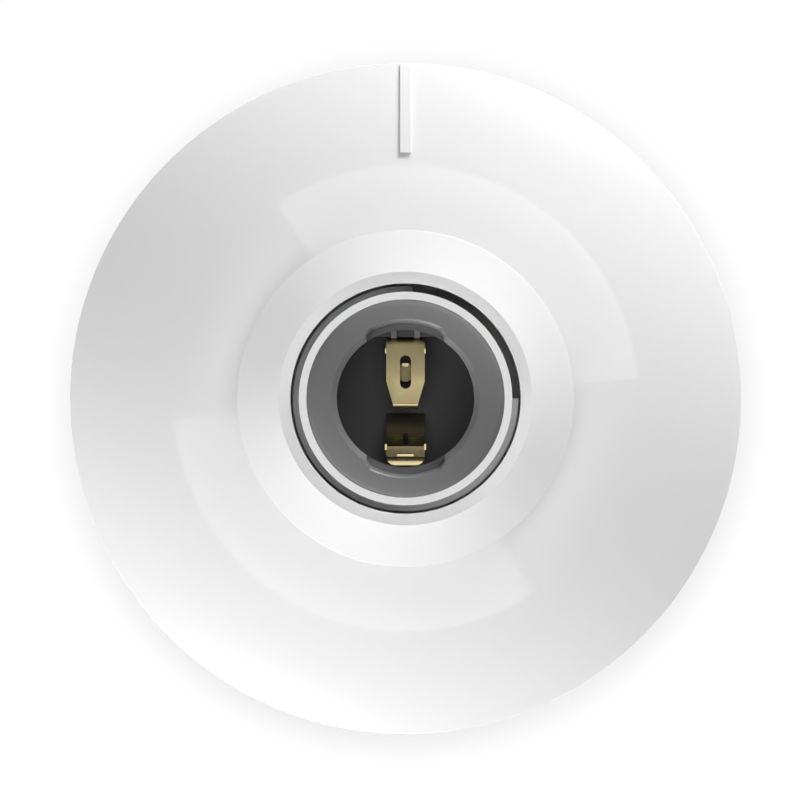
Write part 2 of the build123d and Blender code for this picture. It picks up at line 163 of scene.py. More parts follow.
class GeometryTree(NodeGraph):
    """A Geometry Nodes tree with named inputs for its sizes, ending in a plain mesh with its finish."""

    def __init__(self, name: str) -> None:
        """Make a tree that takes a piece's mesh and a finish.

        Args:
            name: The tree's name.
        """
        super().__init__(bpy.data.node_groups.new(name, "GeometryNodeTree"))
        sockets = self.tree.interface
        sockets.new_socket("Geometry", in_out="INPUT", socket_type="NodeSocketGeometry")
        sockets.new_socket("Finish", in_out="INPUT", socket_type="NodeSocketMaterial")
        sockets.new_socket("Geometry", in_out="OUTPUT", socket_type="NodeSocketGeometry")
        self.source = self.tree.nodes.new("NodeGroupInput")

    def size(self, name: str, default: float | int = 0.0) -> bpy.types.NodeSocket:
        """Add a named input.

        Args:
            name: The input's name.
            default: Its value where none is given; a whole number makes it a count.

        Returns:
            The socket that carries the input into the tree.
        """
        kind = "NodeSocketInt" if isinstance(default, int) else "NodeSocketFloat"
        socket = self.tree.interface.new_socket(name, in_out="INPUT", socket_type=kind)
        socket.default_value = default
        return self.source.outputs[name]

    def close(self, geometry: bpy.types.NodeSocket) -> None:
        """End the tree: realize the instances and set the finish.

        Args:
            geometry: The output that holds the finished shape.
        """
        real = self.add("GeometryNodeRealizeInstances", {"Geometry": geometry})
        finish = {"Geometry": real.outputs[0], "Material": self.source.outputs["Finish"]}
        dressed = self.add("GeometryNodeSetMaterial", finish)
        sink = self.tree.nodes.new("NodeGroupOutput")
        self.tree.links.new(dressed.outputs[0], sink.inputs[0])

    def run(
        self, name: str, mesh: bpy.types.Mesh, finish: bpy.types.Material, **sizes: float
    ) -> bpy.types.Object:
        """Run the tree on a mesh and keep the result as a plain object.

        Args:
            name: The new piece's name.
            mesh: The mesh that goes into the tree.
            finish: The piece's material.
            **sizes: The named inputs, with underscores for spaces.

        Returns:
            The new object, with no modifier left on it.
        """
        holder = bpy.data.objects.new(f"{name}_source", mesh)
        bpy.context.scene.collection.objects.link(holder)
        modifier = holder.modifiers.new("shape", "NODES")
        modifier.node_group = self.tree
        values = {key.replace("_", " ").capitalize(): value for key, value in sizes.items()}
        values["Finish"] = finish
        for item in self.tree.interface.items_tree:
            if item.in_out == "INPUT" and item.name in values:
                modifier[item.identifier] = values[item.name]
        made = plain_mesh(holder)
        holder.modifiers.remove(modifier)
        bpy.data.objects.remove(holder)
        return new_piece(name, made, finish)


def plain_mesh(obj: bpy.types.Object) -> bpy.types.Mesh:
    """Evaluate an object with its modifiers.

    Args:
        obj: The object.

    Returns:
        The result as a mesh of its own.
    """
    graph = bpy.context.evaluated_depsgraph_get()
    return bpy.data.meshes.new_from_object(obj.evaluated_get(graph))


def new_piece(name: str, mesh: bpy.types.Mesh, finish: bpy.types.Material) -> bpy.types.Object:
    """Make a piece of a mesh.

    Args:
        name: The piece's name.
        mesh: Its mesh, in place.
        finish: Its only material.

    Returns:
        The object, at the origin.
    """
    mesh.name = name
    mesh.materials.clear()
    mesh.materials.append(finish)
    obj = bpy.data.objects.new(name, mesh)
    bpy.context.scene.collection.objects.link(obj)
    return obj


def settle(obj: bpy.types.Object, kind: str, **settings: object) -> None:
    """Run one modifier on a piece and keep the result as its mesh.

    Args:
        obj: The piece.
        kind: Blender's name for the type of modifier.
        **settings: The modifier's own options.
    """
    modifier = obj.modifiers.new("step", kind)
    for option, value in settings.items():
        setattr(modifier, option, value)
    made = plain_mesh(obj)
    obj.modifiers.remove(modifier)
    obj.data = made


def smooth(obj: bpy.types.Object) -> bpy.types.Object:
    """Merge a piece's doubles, turn its faces outwards and shade it smooth between sharp edges.

    Args:
        obj: The piece.

    Returns:
        The same piece.
    """
    work = bmesh.new()
    work.from_mesh(obj.data)
    bmesh.ops.remove_doubles(work, verts=work.verts, dist=WELD * MM)
    bmesh.ops.recalc_face_normals(work, faces=work.faces)
    for face in work.faces:
        face.smooth = True
    work.to_mesh(obj.data)
    work.free()
    obj.data.set_sharp_from_angle(angle=SHARP_ANGLE)
    settle(obj, "WEIGHTED_NORMAL", keep_sharp=True)
    return obj


def carve(obj: bpy.types.Object, cutter: bpy.types.Mesh, how: Carve) -> None:
    """Cut a piece with a cutter's mesh, and keep the result as its mesh.

    Args:
        obj: The piece.
        cutter: A closed mesh in the same place.
        how: What the cutter does.
    """
    tool = bpy.data.objects.new("cutter", cutter)
    bpy.context.scene.collection.objects.link(tool)
    settle(obj, "BOOLEAN", operation=how.value, solver="EXACT", object=tool)
    bpy.data.objects.remove(tool)


def soften(obj: bpy.types.Object, width: float, segments: int = 2) -> None:
    """Round a piece's sharp edges a little.

    Args:
        obj: The piece.
        width: How far the rounding reaches, in millimetres.
        segments: The steps across it.
    """
    work = bmesh.new()
    work.from_mesh(obj.data)
    bmesh.ops.remove_doubles(work, verts=work.verts, dist=WELD * MM)
    bmesh.ops.dissolve_limit(
        work, angle_limit=FLAT_ANGLE, verts=work.verts, edges=work.edges, delimit={"NORMAL"}
    )
    work.to_mesh(obj.data)
    work.free()
    settle(
        obj,
        "BEVEL",
        width=width * MM,
        segments=segments,
        limit_method="ANGLE",
        angle_limit=SHARP_ANGLE,
        miter_outer="MITER_ARC",
    )


def node_copy(node: str, name: str, finish: bpy.types.Material, softness: float) -> bpy.types.Object:
    """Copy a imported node's shape and round its edges.

    Args:
        node: The node's name.
        name: The new piece's name.
        finish: Its material.
        softness: The width of the rounding, in millimetres.

    Returns:
        The piece.
    """
    piece = new_piece(name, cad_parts[node].data.copy(), finish)
    kept_normals = piece.data.attributes.get("custom_normal")
    if kept_normals:
        piece.data.attributes.remove(kept_normals)
    soften(piece, softness, segments=1)
    return smooth(piece)


def spread(start: float, end: float, steps: int) -> list[float]:
    """Even steps from one value to another, ends included."""
    return [start + (end - start) * i / steps for i in range(steps + 1)]


def oblong(across: Point, along: Point) -> list[Point]:
    """The outline of a rectangle, by its two ends along X and along Y."""
    (left, right), (near, far) = across, along
    return [(left, near), (right, near), (right, far), (left, far)]


def heading(turn: float, length: float = 1.0) -> Point:
    """The X and Y of a level arrow, by its turn from X in degrees."""
    return (length * cos(radians(turn)), length * sin(radians(turn)))


def prism(outline: list[Point], low: float, high: float, flare: float = 1.0) -> bpy.types.Mesh:
    """An upright prism.

    Args:
        outline: Its plan, in millimetres, going round anticlockwise.
        low: The height of its bottom.
        high: The height of its top.
        flare: How many times as large the plan is at the top.

    Returns:
        The closed mesh.
    """
    count = len(outline)
    verts = [(x * k * MM, y * k * MM, z * MM) for k, z in ((1.0, low), (flare, high)) for x, y in outline]
    sides = [(i, (i + 1) % count, (i + 1) % count + count, i + count) for i in range(count)]
    mesh = bpy.data.meshes.new("prism")
    mesh.from_pydata(verts, [], [tuple(reversed(range(count))), tuple(range(count, 2 * count)), *sides])
    return mesh


def wedge(sides: Point, near: Triple, far: Triple) -> bpy.types.Mesh:
    """A block with upright sides and ends, whose top and bottom may slope along Y.

    Args:
        sides: Its lower and upper end along X, in millimetres.
        near: The lower end along Y, with its bottom and top heights there.
        far: The upper end along Y, with its bottom and top heights there.

    Returns:
        The closed mesh.
    """
    verts = [(x * MM, y * MM, z * MM) for y, *levels in (near, far) for z in levels for x in sides]
    faces = [(0, 1, 3, 2), (4, 6, 7, 5), (0, 4, 5, 1), (2, 3, 7, 6), (0, 2, 6, 4), (1, 5, 7, 3)]
    mesh = bpy.data.meshes.new("wedge")
    mesh.from_pydata(verts, [], faces)
    return mesh


def line_mesh(points: list[Point], closed: bool, upright: bool = False) -> bpy.types.Mesh:
    """A mesh of edges only, as the section or path of a piece.

    Args:
        points: The points in order, in millimetres.
        closed: Whether the last point joins the first.
        upright: Whether the points lie in the YZ plane; otherwise in the XY plane.

    Returns:
        The mesh, in metres.
    """
    count = len(points)
    verts = [(0, a * MM, b * MM) if upright else (a * MM, b * MM, 0) for a, b in points]
    edges = [(i, (i + 1) % count) for i in range(count if closed else count - 1)]
    mesh = bpy.data.meshes.new("line")
    mesh.from_pydata(verts, edges, [])
    return mesh


@dataclass(frozen=True)
class Corner:
    """A corner of a section, with the radius that rounds it."""

    place: Point
    rounding: float = 0.0


def rounded(corners: list[Corner], closed: bool, steps: int = 6) -> list[Point]:
    """Round the corners of a section, with a guard point beside each rounding to keep the flats flat.

    Args:
        corners: The corners in order.
        closed: Whether the last corner joins the first.
        steps: The steps across a rounding of a right angle.

    Returns:
        The section's points.
    """
    points: list[Point] = []
    count = len(corners)
    for i, corner in enumerate(corners):
        here = Vector(corner.place)
        ends = not closed and i in (0, count - 1)
        if ends or corner.rounding == 0:
            points.append(corner.place)
            continue
        back = Vector(corners[i - 1].place) - here
        ahead = Vector(corners[(i + 1) % count].place) - here
        half = back.angle(ahead) / 2
        reach = corner.rounding / tan(half)
        room = ROUNDING_ROOM * min(back.length, ahead.length)
        radius = corner.rounding * min(1.0, room / reach)
        reach = min(reach, room)
        back.normalize()
        ahead.normalize()
        centre = here + (back + ahead).normalized() * radius / sin(half)
        start = here + back * reach - centre
        turn = pi - 2 * half
        left = back.x * ahead.y - back.y * ahead.x < 0
        pieces = max(2, ceil(steps * turn / (pi / 2)))
        guard = ROUNDING_GUARD * reach
        points.append(tuple(here + back * (reach + guard)))
        for step in range(pieces + 1):
            angle = turn * step / pieces * (1 if left else -1)
            spoke = Vector(
                (start.x * cos(angle) - start.y * sin(angle), start.x * sin(angle) + start.y * cos(angle))
            )
            points.append(tuple(centre + spoke))
        points.append(tuple(here + ahead * (reach + guard)))
    return points


@dataclass(frozen=True)
class Arc:
    """An arc of a turned section, whose slope falls from the rim inwards."""

    centre: Point
    radius: float

    @classmethod
    def from_slopes(cls, outer: Point, outer_slope: float, inner_radius: float, inner_slope: float) -> "Arc":
        """Find the arc that leaves a point at one slope and reaches a radius at another.

        Args:
            outer: The outer end, radius and height.
            outer_slope: The slope there, in degrees.
            inner_radius: The radius of the inner end.
            inner_slope: The slope there, in degrees.

        Returns:
            The arc.
        """
        span = sin(radians(outer_slope)) - sin(radians(inner_slope))
        radius = (outer[0] - inner_radius) / span
        level = outer[1] - radius * cos(radians(outer_slope))
        return cls((outer[0] - radius * sin(radians(outer_slope)), level), radius)

    def inset(self, distance: float) -> "Arc":
        """The parallel arc that lies inside this one."""
        return Arc(self.centre, self.radius - distance)

    def at(self, slope: float) -> Point:
        """The point where the arc has a slope, in degrees."""
        turn = radians(slope)
        return (self.centre[0] + self.radius * sin(turn), self.centre[1] + self.radius * cos(turn))

    def at_radius(self, radius: float) -> Point:
        """The point at a distance from the Z axis."""
        return self.at(degrees(asin((radius - self.centre[0]) / self.radius)))

    def points(self, start: float, end: float, count: int) -> list[Point]:
        """Points from one slope to another, ends included, with guard points beside the ends.

        Args:
            start: The first point's slope, in degrees.
            end: The last point's slope.
            count: The steps between them.

        Returns:
            The points, radius and height.
        """
        shares = [0, ARC_GUARD, *spread(0, 1, count)[1:-1], 1 - ARC_GUARD, 1]
        return [self.at(start + (end - start) * share) for share in shares]


def offset_path(path: list[Point], distance: float) -> list[Point]:
    """Move a path of straight runs sideways.

    Args:
        path: The corners of the path.
        distance: How far it moves to its left, in millimetres.

    Returns:
        The corners of the moved path.
    """
    moved: list[Point] = []
    for i, point in enumerate(path):
        normals = []
        for a, b in ((i - 1, i), (i, i + 1)):
            if a >= 0 and b < len(path):
                run = (Vector(path[b]) - Vector(path[a])).normalized()
                normals.append(Vector((-run.y, run.x)))
        bisector = sum(normals, Vector((0, 0))).normalized()
        moved.append(tuple(Vector(point) + bisector * distance / bisector.dot(normals[0])))
    return moved


def dress(obj: bpy.types.Object, body: Body, slot: Slot, *nodes: str) -> None:
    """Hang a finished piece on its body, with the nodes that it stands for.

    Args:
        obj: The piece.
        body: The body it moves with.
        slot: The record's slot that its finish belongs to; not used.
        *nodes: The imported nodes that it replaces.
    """
    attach(obj, body.value)
    if nodes:
        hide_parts(*nodes)
    LOG.info("%s on %s, %d faces", obj.name, body.value, len(obj.data.polygons))


class Surface(NodeGraph):
    """The nodes of a material with a Principled shader, patterned on Object coordinates."""

    def __init__(self, name: str) -> None:
        """Make the material.

        Args:
            name: The material's name.
        """
        self.material = bpy.data.materials.new(name)
        self.material.use_nodes = True
        super().__init__(self.material.node_tree)
        self.shader = self.tree.nodes["Principled BSDF"]
        self.place = self.add("ShaderNodeTexCoord").outputs["Object"]

    def feed(self, socket: bpy.types.NodeSocket, name: str) -> None:
        """Join a socket to one of the shader's inputs."""
        self.tree.links.new(socket, self.shader.inputs[name])

    def wear(self, pattern: bpy.types.NodeSocket, roughness: float, spread: float) -> None:
        """Let the roughness follow a pattern.

        Args:
            pattern: What it follows, from 0 to 1.
            roughness: Its middle value.
            spread: How far it goes to either side.
        """
        limits = {"Value": pattern, "To Min": roughness - spread, "To Max": roughness + spread}
        self.feed(self.add("ShaderNodeMapRange", limits).outputs[0], "Roughness")

    def raise_grain(self, pattern: bpy.types.NodeSocket, strength: float) -> None:
        """Let a pattern stand a little proud.

        Args:
            pattern: What stands proud.
            strength: How strongly it does.
        """
        relief = {"Height": pattern, "Strength": strength, "Distance": RELIEF * MM}
        self.feed(self.add("ShaderNodeBump", relief).outputs[0], "Normal")


@dataclass(frozen=True)
class DeepShade:
    """Painted shade: a finish darkens towards the bottom of the socket, where shade falls; on metal the
    shine falls away there too.
    """

    colour: Triple
    low: float
    high: float

    def share(self, face: Surface) -> bpy.types.NodeSocket:
        """How much of the unshaded finish shows at each height: 0 at the low level, 1 at the high one."""
        height = face.add("ShaderNodeSeparateXYZ", {"Vector": face.place}).outputs["Z"]
        return face.ramp(height, self.low * MM, self.high * MM)


@dataclass(frozen=True)
class PlasticFinish:
    """A moulded plastic with a faint grain."""

    name: str
    colour: Triple
    roughness: float
    roughness_spread: float
    grain_per_metre: float
    grain_strength: float
    # painted shade that darkens the colour towards the bottom of the socket, if any
    deep: DeepShade | None = None
    ior: float = 1.5
    grains_per_cloud: float = 40.0

    def make(self) -> bpy.types.Material:
        """Build the material.

        Returns:
            The material.
        """
        face = Surface(self.name)
        face.shader.inputs["Base Color"].default_value = (*self.colour, 1)
        face.shader.inputs["IOR"].default_value = self.ior
        # Painted shade: lower in the socket the colour darkens to the deep colour, where shade falls.
        if self.deep:
            unshaded = self.deep.share(face)
            face.feed(face.mix(unshaded, (*self.deep.colour, 1), (*self.colour, 1)), "Base Color")
        cloud_scale = self.grain_per_metre / self.grains_per_cloud
        cloud = face.add("ShaderNodeTexNoise", {"Vector": face.place, "Scale": cloud_scale})
        face.wear(cloud.outputs[0], self.roughness, self.roughness_spread)
        grain = face.add("ShaderNodeTexNoise", {"Vector": face.place, "Scale": self.grain_per_metre})
        face.raise_grain(grain.outputs[0], self.grain_strength)
        return face.material


@dataclass(frozen=True)
class MetalFinish:
    """A rolled or plated metal with fine lines along one direction."""

    name: str
    colour: Triple
    tint: Triple
    roughness: float
    roughness_spread: float
    line_scale: Triple
    line_strength: float
    # painted shade that darkens and dulls the metal towards the bottom of the socket, if any
    deep: DeepShade | None = None

    def make(self) -> bpy.types.Material:
        """Build the material.

        Returns:
            The material.
        """
        face = Surface(self.name)
        face.shader.inputs["Metallic"].default_value = 1.0
        stretched = face.add("ShaderNodeMapping", {"Vector": face.place, "Scale": self.line_scale})
        drawn = {"Vector": stretched.outputs[0], "Scale": 1.0, "Detail": 3.0}
        lines = face.add("ShaderNodeTexNoise", drawn).outputs[0]
        colour = face.mix(lines, (*self.colour, 1), (*self.tint, 1))
        # Painted shade: lower in the socket the colour darkens and the metal turns dull, where shade falls.
        if self.deep:
            unshaded = self.deep.share(face)
            face.feed(unshaded, "Metallic")
            colour = face.mix(unshaded, (*self.deep.colour, 1), colour)
        face.feed(colour, "Base Color")
        face.wear(lines, self.roughness, self.roughness_spread)
        face.raise_grain(lines, self.line_strength)
        return face.material


WHITE_PLASTIC = PlasticFinish(
    "white_plastic_gloss",
    colour=(0.8, 0.8, 0.8),
    roughness=0.03,
    roughness_spread=0.008,
    grain_per_metre=4000.0,
    grain_strength=0.006,
    ior=1.54,
)
BASE_PLASTIC = PlasticFinish(
    "base_plastic_gloss",
    colour=(0.87, 0.87, 0.87),
    roughness=0.16,
    roughness_spread=0.03,
    grain_per_metre=4000.0,
    grain_strength=0.03,
)
DARK_PLASTIC = PlasticFinish(
    "dark_plastic_satin",
    colour=(0.164, 0.164, 0.166),
    roughness=0.45,
    roughness_spread=0.05,
    grain_per_metre=5000.0,
    grain_strength=0.08,
    # painted shade: darker towards the bottom of the socket
    deep=DeepShade((0.12, 0.12, 0.122), low=20.0, high=34.0),
)
GREY_PLASTIC = PlasticFinish(
    "grey_plastic_satin",
    colour=(0.42, 0.415, 0.415),
    roughness=0.4,
    roughness_spread=0.05,
    grain_per_metre=5000.0,
    grain_strength=0.05,
)
BRASS = MetalFinish(
    "rolled_brass",
    colour=(0.62, 0.52, 0.28),
    tint=(0.56, 0.47, 0.25),
    roughness=0.2,
    roughness_spread=0.04,
    line_scale=(9000.0, 500.0, 500.0),
    line_strength=0.05,
    # painted shade: darker and matt towards the chamber floor, where the contacts lie in shade
    deep=DeepShade((0.115, 0.105, 0.07), low=14.5, high=18.7),
)
# Brass without BRASS's painted shade, so the rivet heads deep in the socket keep their glint; its colour is
# a little darker than BRASS.
RIVET_BRASS = MetalFinish(
    "rivet_brass",
    colour=(0.5, 0.43, 0.25),
    tint=(0.46, 0.39, 0.22),
    roughness=0.2,
    roughness_spread=0.04,
    line_scale=(900.0, 900.0, 900.0),
    line_strength=0.05,
)
ZINC = MetalFinish(
    "zinc_plated_steel",
    colour=(0.62, 0.63, 0.64),
    tint=(0.53, 0.54, 0.55),
    roughness=0.32,
    roughness_spread=0.07,
    line_scale=(2500.0, 2500.0, 2500.0),
    line_strength=0.1,
)


def turned_tree() -> GeometryTree:
    """The tree that turns a section about the Z axis, with a round thread on one of its walls.

    Returns:
        The tree; its mesh is the section, x outwards and y up.
    """
    tree = GeometryTree("turned_piece")
    segments = tree.size("Segments", 128)
    radius = tree.size("Path radius", 0.02)
    depth = tree.size("Thread depth")
    pitch = tree.size("Thread pitch", 0.003)
    wall = tree.size("Thread wall", 0.01)
    low = tree.size("Thread low")
    high = tree.size("Thread high", 0.01)
    section = tree.add("GeometryNodeMeshToCurve", {0: tree.source.outputs["Geometry"]})
    inwards = tree.add("ShaderNodeCombineXYZ", {"X": tree.math("MULTIPLY", radius, -1.0)})
    flipped = {"Geometry": section.outputs[0], "Translation": inwards.outputs[0], "Scale": (1, -1, 1)}
    profile = tree.add("GeometryNodeTransform", flipped)
    circle = tree.add("GeometryNodeCurvePrimitiveCircle", {"Resolution": segments, "Radius": radius})
    path = tree.add("GeometryNodeSetCurveNormal", {"Curve": circle.outputs[0]}, mode="Z_UP")
    turned = tree.add("GeometryNodeCurveToMesh", {0: path.outputs[0], 1: profile.outputs[0]})
    merged = tree.add("GeometryNodeMergeByDistance", {"Geometry": turned.outputs[0], "Distance": WELD * MM})
    place = tree.add("GeometryNodeInputPosition").outputs[0]
    axes = tree.add("ShaderNodeSeparateXYZ", {0: place})
    x, y, z = axes.outputs
    flat = tree.add("ShaderNodeCombineXYZ", {"X": x, "Y": y}).outputs[0]
    reach = tree.add("ShaderNodeVectorMath", {0: flat}, operation="LENGTH").outputs["Value"]
    outwards = tree.add("ShaderNodeVectorMath", {0: flat}, operation="NORMALIZE").outputs[0]
    turn = tree.math("DIVIDE", tree.math("ARCTAN2", y, x), 2 * pi)
    phase = tree.math("SUBTRACT", tree.math("DIVIDE", z, pitch), turn)
    wave = tree.math("COSINE", tree.math("MULTIPLY", phase, 2 * pi))
    groove = tree.math("MULTIPLY_ADD", wave, -0.5, 0.5)
    run_in = tree.ramp(z, low, tree.math("ADD", low, pitch))
    run_out = tree.ramp(z, high, tree.math("SUBTRACT", high, tree.math("MULTIPLY", pitch, 0.5)))
    wall_band = 0.25 * MM
    on_wall = tree.math("COMPARE", reach, wall, wall_band)
    push = tree.math("MULTIPLY", tree.math("MULTIPLY", groove, depth), on_wall)
    faded = tree.math("MULTIPLY", tree.math("MULTIPLY", push, run_in), run_out)
    shift = tree.add("ShaderNodeVectorMath", {0: outwards, "Scale": faded}, operation="SCALE")
    threaded = {"Geometry": merged.outputs[0], "Offset": shift.outputs[0]}
    tree.close(tree.add("GeometryNodeSetPosition", threaded).outputs[0])
    return tree


def ridge_tree() -> GeometryTree:
    """The tree that winds a ridge of a given section round the Z axis as a right-hand thread.

    Returns:
        The tree; its mesh is the section, x outwards from the wall and y up.
    """
    tree = GeometryTree("thread_ridge")
    stations = tree.size("Stations", 200)
    wall = tree.size("Wall radius", 0.02)
    pitch = tree.size("Pitch", 0.003)
    turns = tree.size("Turns", 1.0)
    top = tree.size("Top height", 0.01)
    top_angle = tree.size("Top angle")
    section = tree.add("GeometryNodeMeshToCurve", {0: tree.source.outputs["Geometry"]})
    line = tree.add("GeometryNodeCurvePrimitiveLine", {"Start": (0, 0, 0), "End": (1, 0, 0)})
    path = tree.add("GeometryNodeResampleCurve", {"Curve": line.outputs[0], "Count": stations})
    upright = tree.add("GeometryNodeSetCurveNormal", {"Curve": path.outputs[0]}, mode="Z_UP")
    bar = tree.add(
        "GeometryNodeCurveToMesh", {0: upright.outputs[0], 1: section.outputs[0], "Fill Caps": True}
    )
    axes = tree.add("ShaderNodeSeparateXYZ", {0: tree.add("GeometryNodeInputPosition").outputs[0]})
    along, out, down = axes.outputs
    left = tree.math("MULTIPLY", tree.math("SUBTRACT", 1.0, along), turns)
    angle = tree.math("SUBTRACT", top_angle, tree.math("MULTIPLY", left, 2 * pi))
    reach = tree.math("SUBTRACT", wall, out)
    level = tree.math("SUBTRACT", tree.math("SUBTRACT", top, tree.math("MULTIPLY", left, pitch)), down)
    wound = {
        "X": tree.math("MULTIPLY", reach, tree.math("COSINE", angle)),
        "Y": tree.math("MULTIPLY", reach, tree.math("SINE", angle)),
        "Z": level,
    }
    place = tree.add("ShaderNodeCombineXYZ", wound).outputs[0]
    wound_bar = {"Geometry": bar.outputs[0], "Position": place}
    tree.close(tree.add("GeometryNodeSetPosition", wound_bar).outputs[0])
    return tree


def strip_tree() -> GeometryTree:
    """The tree that draws a flat strip along a folded path.

    Returns:
        The tree; its mesh is the strip's middle line.
    """
    tree = GeometryTree("folded_strip")
    width = tree.size("Width", 0.007)
    thickness = tree.size("Thickness", 0.0006)
    path = tree.add("GeometryNodeMeshToCurve", {0: tree.source.outputs["Geometry"]})
    profile = tree.add("GeometryNodeCurvePrimitiveQuadrilateral", {"Width": width, "Height": thickness})
    sweep = {0: path.outputs[0], 1: profile.outputs[0], "Fill Caps": True}
    tree.close(tree.add("GeometryNodeCurveToMesh", sweep).outputs[0])
    return tree


def ring_tree() -> GeometryTree:
    """The tree that sets copies of a mesh round the Z axis.

    Returns:
        The tree; its mesh is one copy, at angle 0.
    """
    tree = GeometryTree("ring_of_copies")
    count = tree.size("Count", 2)
    first = tree.size("First angle")
    line = tree.add("GeometryNodeMeshLine", {"Count": count, "Offset": (0, 0, 0)})
    step = tree.math("DIVIDE", 2 * pi, count)
    index = tree.add("GeometryNodeInputIndex").outputs[0]
    turn = tree.add("ShaderNodeCombineXYZ", {"Z": tree.math("MULTIPLY_ADD", index, step, first)})
    copies = {
        "Points": line.outputs[0],
        "Instance": tree.source.outputs["Geometry"],
        "Rotation": turn.outputs[0],
    }
    tree.close(tree.add("GeometryNodeInstanceOnPoints", copies).outputs[0])
    return tree


@dataclass
class Workshop:
    """The trees and finishes that the pieces are made with."""

    turned: GeometryTree
    ridge: GeometryTree
    strip: GeometryTree
    ring: GeometryTree
    white: bpy.types.Material
    base: bpy.types.Material
    dark: bpy.types.Material
    grey: bpy.types.Material
    brass: bpy.types.Material
    rivet_brass: bpy.types.Material
    zinc: bpy.types.Material
    path_radius: float = 20.0  # of the circle that a section is swept along, which doesn't change the shape

    @classmethod
    def open(cls) -> "Workshop":
        """Build every tree and finish once.

        Returns:
            The workshop.
        """
        return cls(
            turned_tree(),
            ridge_tree(),
            strip_tree(),
            ring_tree(),
            WHITE_PLASTIC.make(),
            BASE_PLASTIC.make(),
            DARK_PLASTIC.make(),
            GREY_PLASTIC.make(),
            BRASS.make(),
            RIVET_BRASS.make(),
            ZINC.make(),
        )

    def turn(
        self,
        name: str,
        section: list[Point],
        finish: bpy.types.Material,
        segments: int,
        closed: bool = True,
        **thread: float,
    ) -> bpy.types.Object:
        """Turn a section about the Z axis.

        Args:
            name: The piece's name.
            section: The section's points, radius and height, in millimetres.
            finish: The piece's material.
            segments: The steps round the axis.
            closed: Whether the section closes on itself; an open one ends on the axis.
            **thread: The thread's sizes, in metres.

        Returns:
            The piece.
        """
        mesh = line_mesh(section, closed)
        path = self.path_radius * MM
        return smooth(self.turned.run(name, mesh, finish, segments=segments, path_radius=path, **thread))


@dataclass(frozen=True)
class ThreadRidge:
    """A moulded thread: a blunt-ended ridge wound round a wall."""

    depth: float
    pitch: float
    turns: float
    top: float
    top_angle: float = 0.0
    root_width: float = 1.7
    crest_width: float = 0.8
    buried: float = 0.25
    root_round: float = 0.1
    crest_round: float = 0.15
    stations_per_turn: int = 120

    def build(self, name: str, wall: float, shop: Workshop) -> bpy.types.Object:
        """Wind the ridge.

        Args:
            name: The piece's name.
            wall: The radius of the wall that it stands on.
            shop: The trees and finishes.

        Returns:
            The piece.
        """
        way = 1 if self.depth > 0 else -1
        root, crest = self.root_width / 2, self.crest_width / 2
        corners = [
            Corner((-way * self.buried, -root)),
            Corner((0, -root), self.root_round),
            Corner((self.depth, -crest), self.crest_round),
            Corner((self.depth, crest), self.crest_round),
            Corner((0, root), self.root_round),
            Corner((-way * self.buried, root)),
        ]
        mesh = line_mesh(rounded(corners, closed=True, steps=4), closed=True)
        ridge = shop.ridge.run(
            name,
            mesh,
            shop.white,
            stations=int(self.turns * self.stations_per_turn),
            wall_radius=wall * MM,
            pitch=self.pitch * MM,
            turns=self.turns,
            top_height=self.top * MM,
            top_angle=radians(self.top_angle),
        )
        return smooth(ridge)


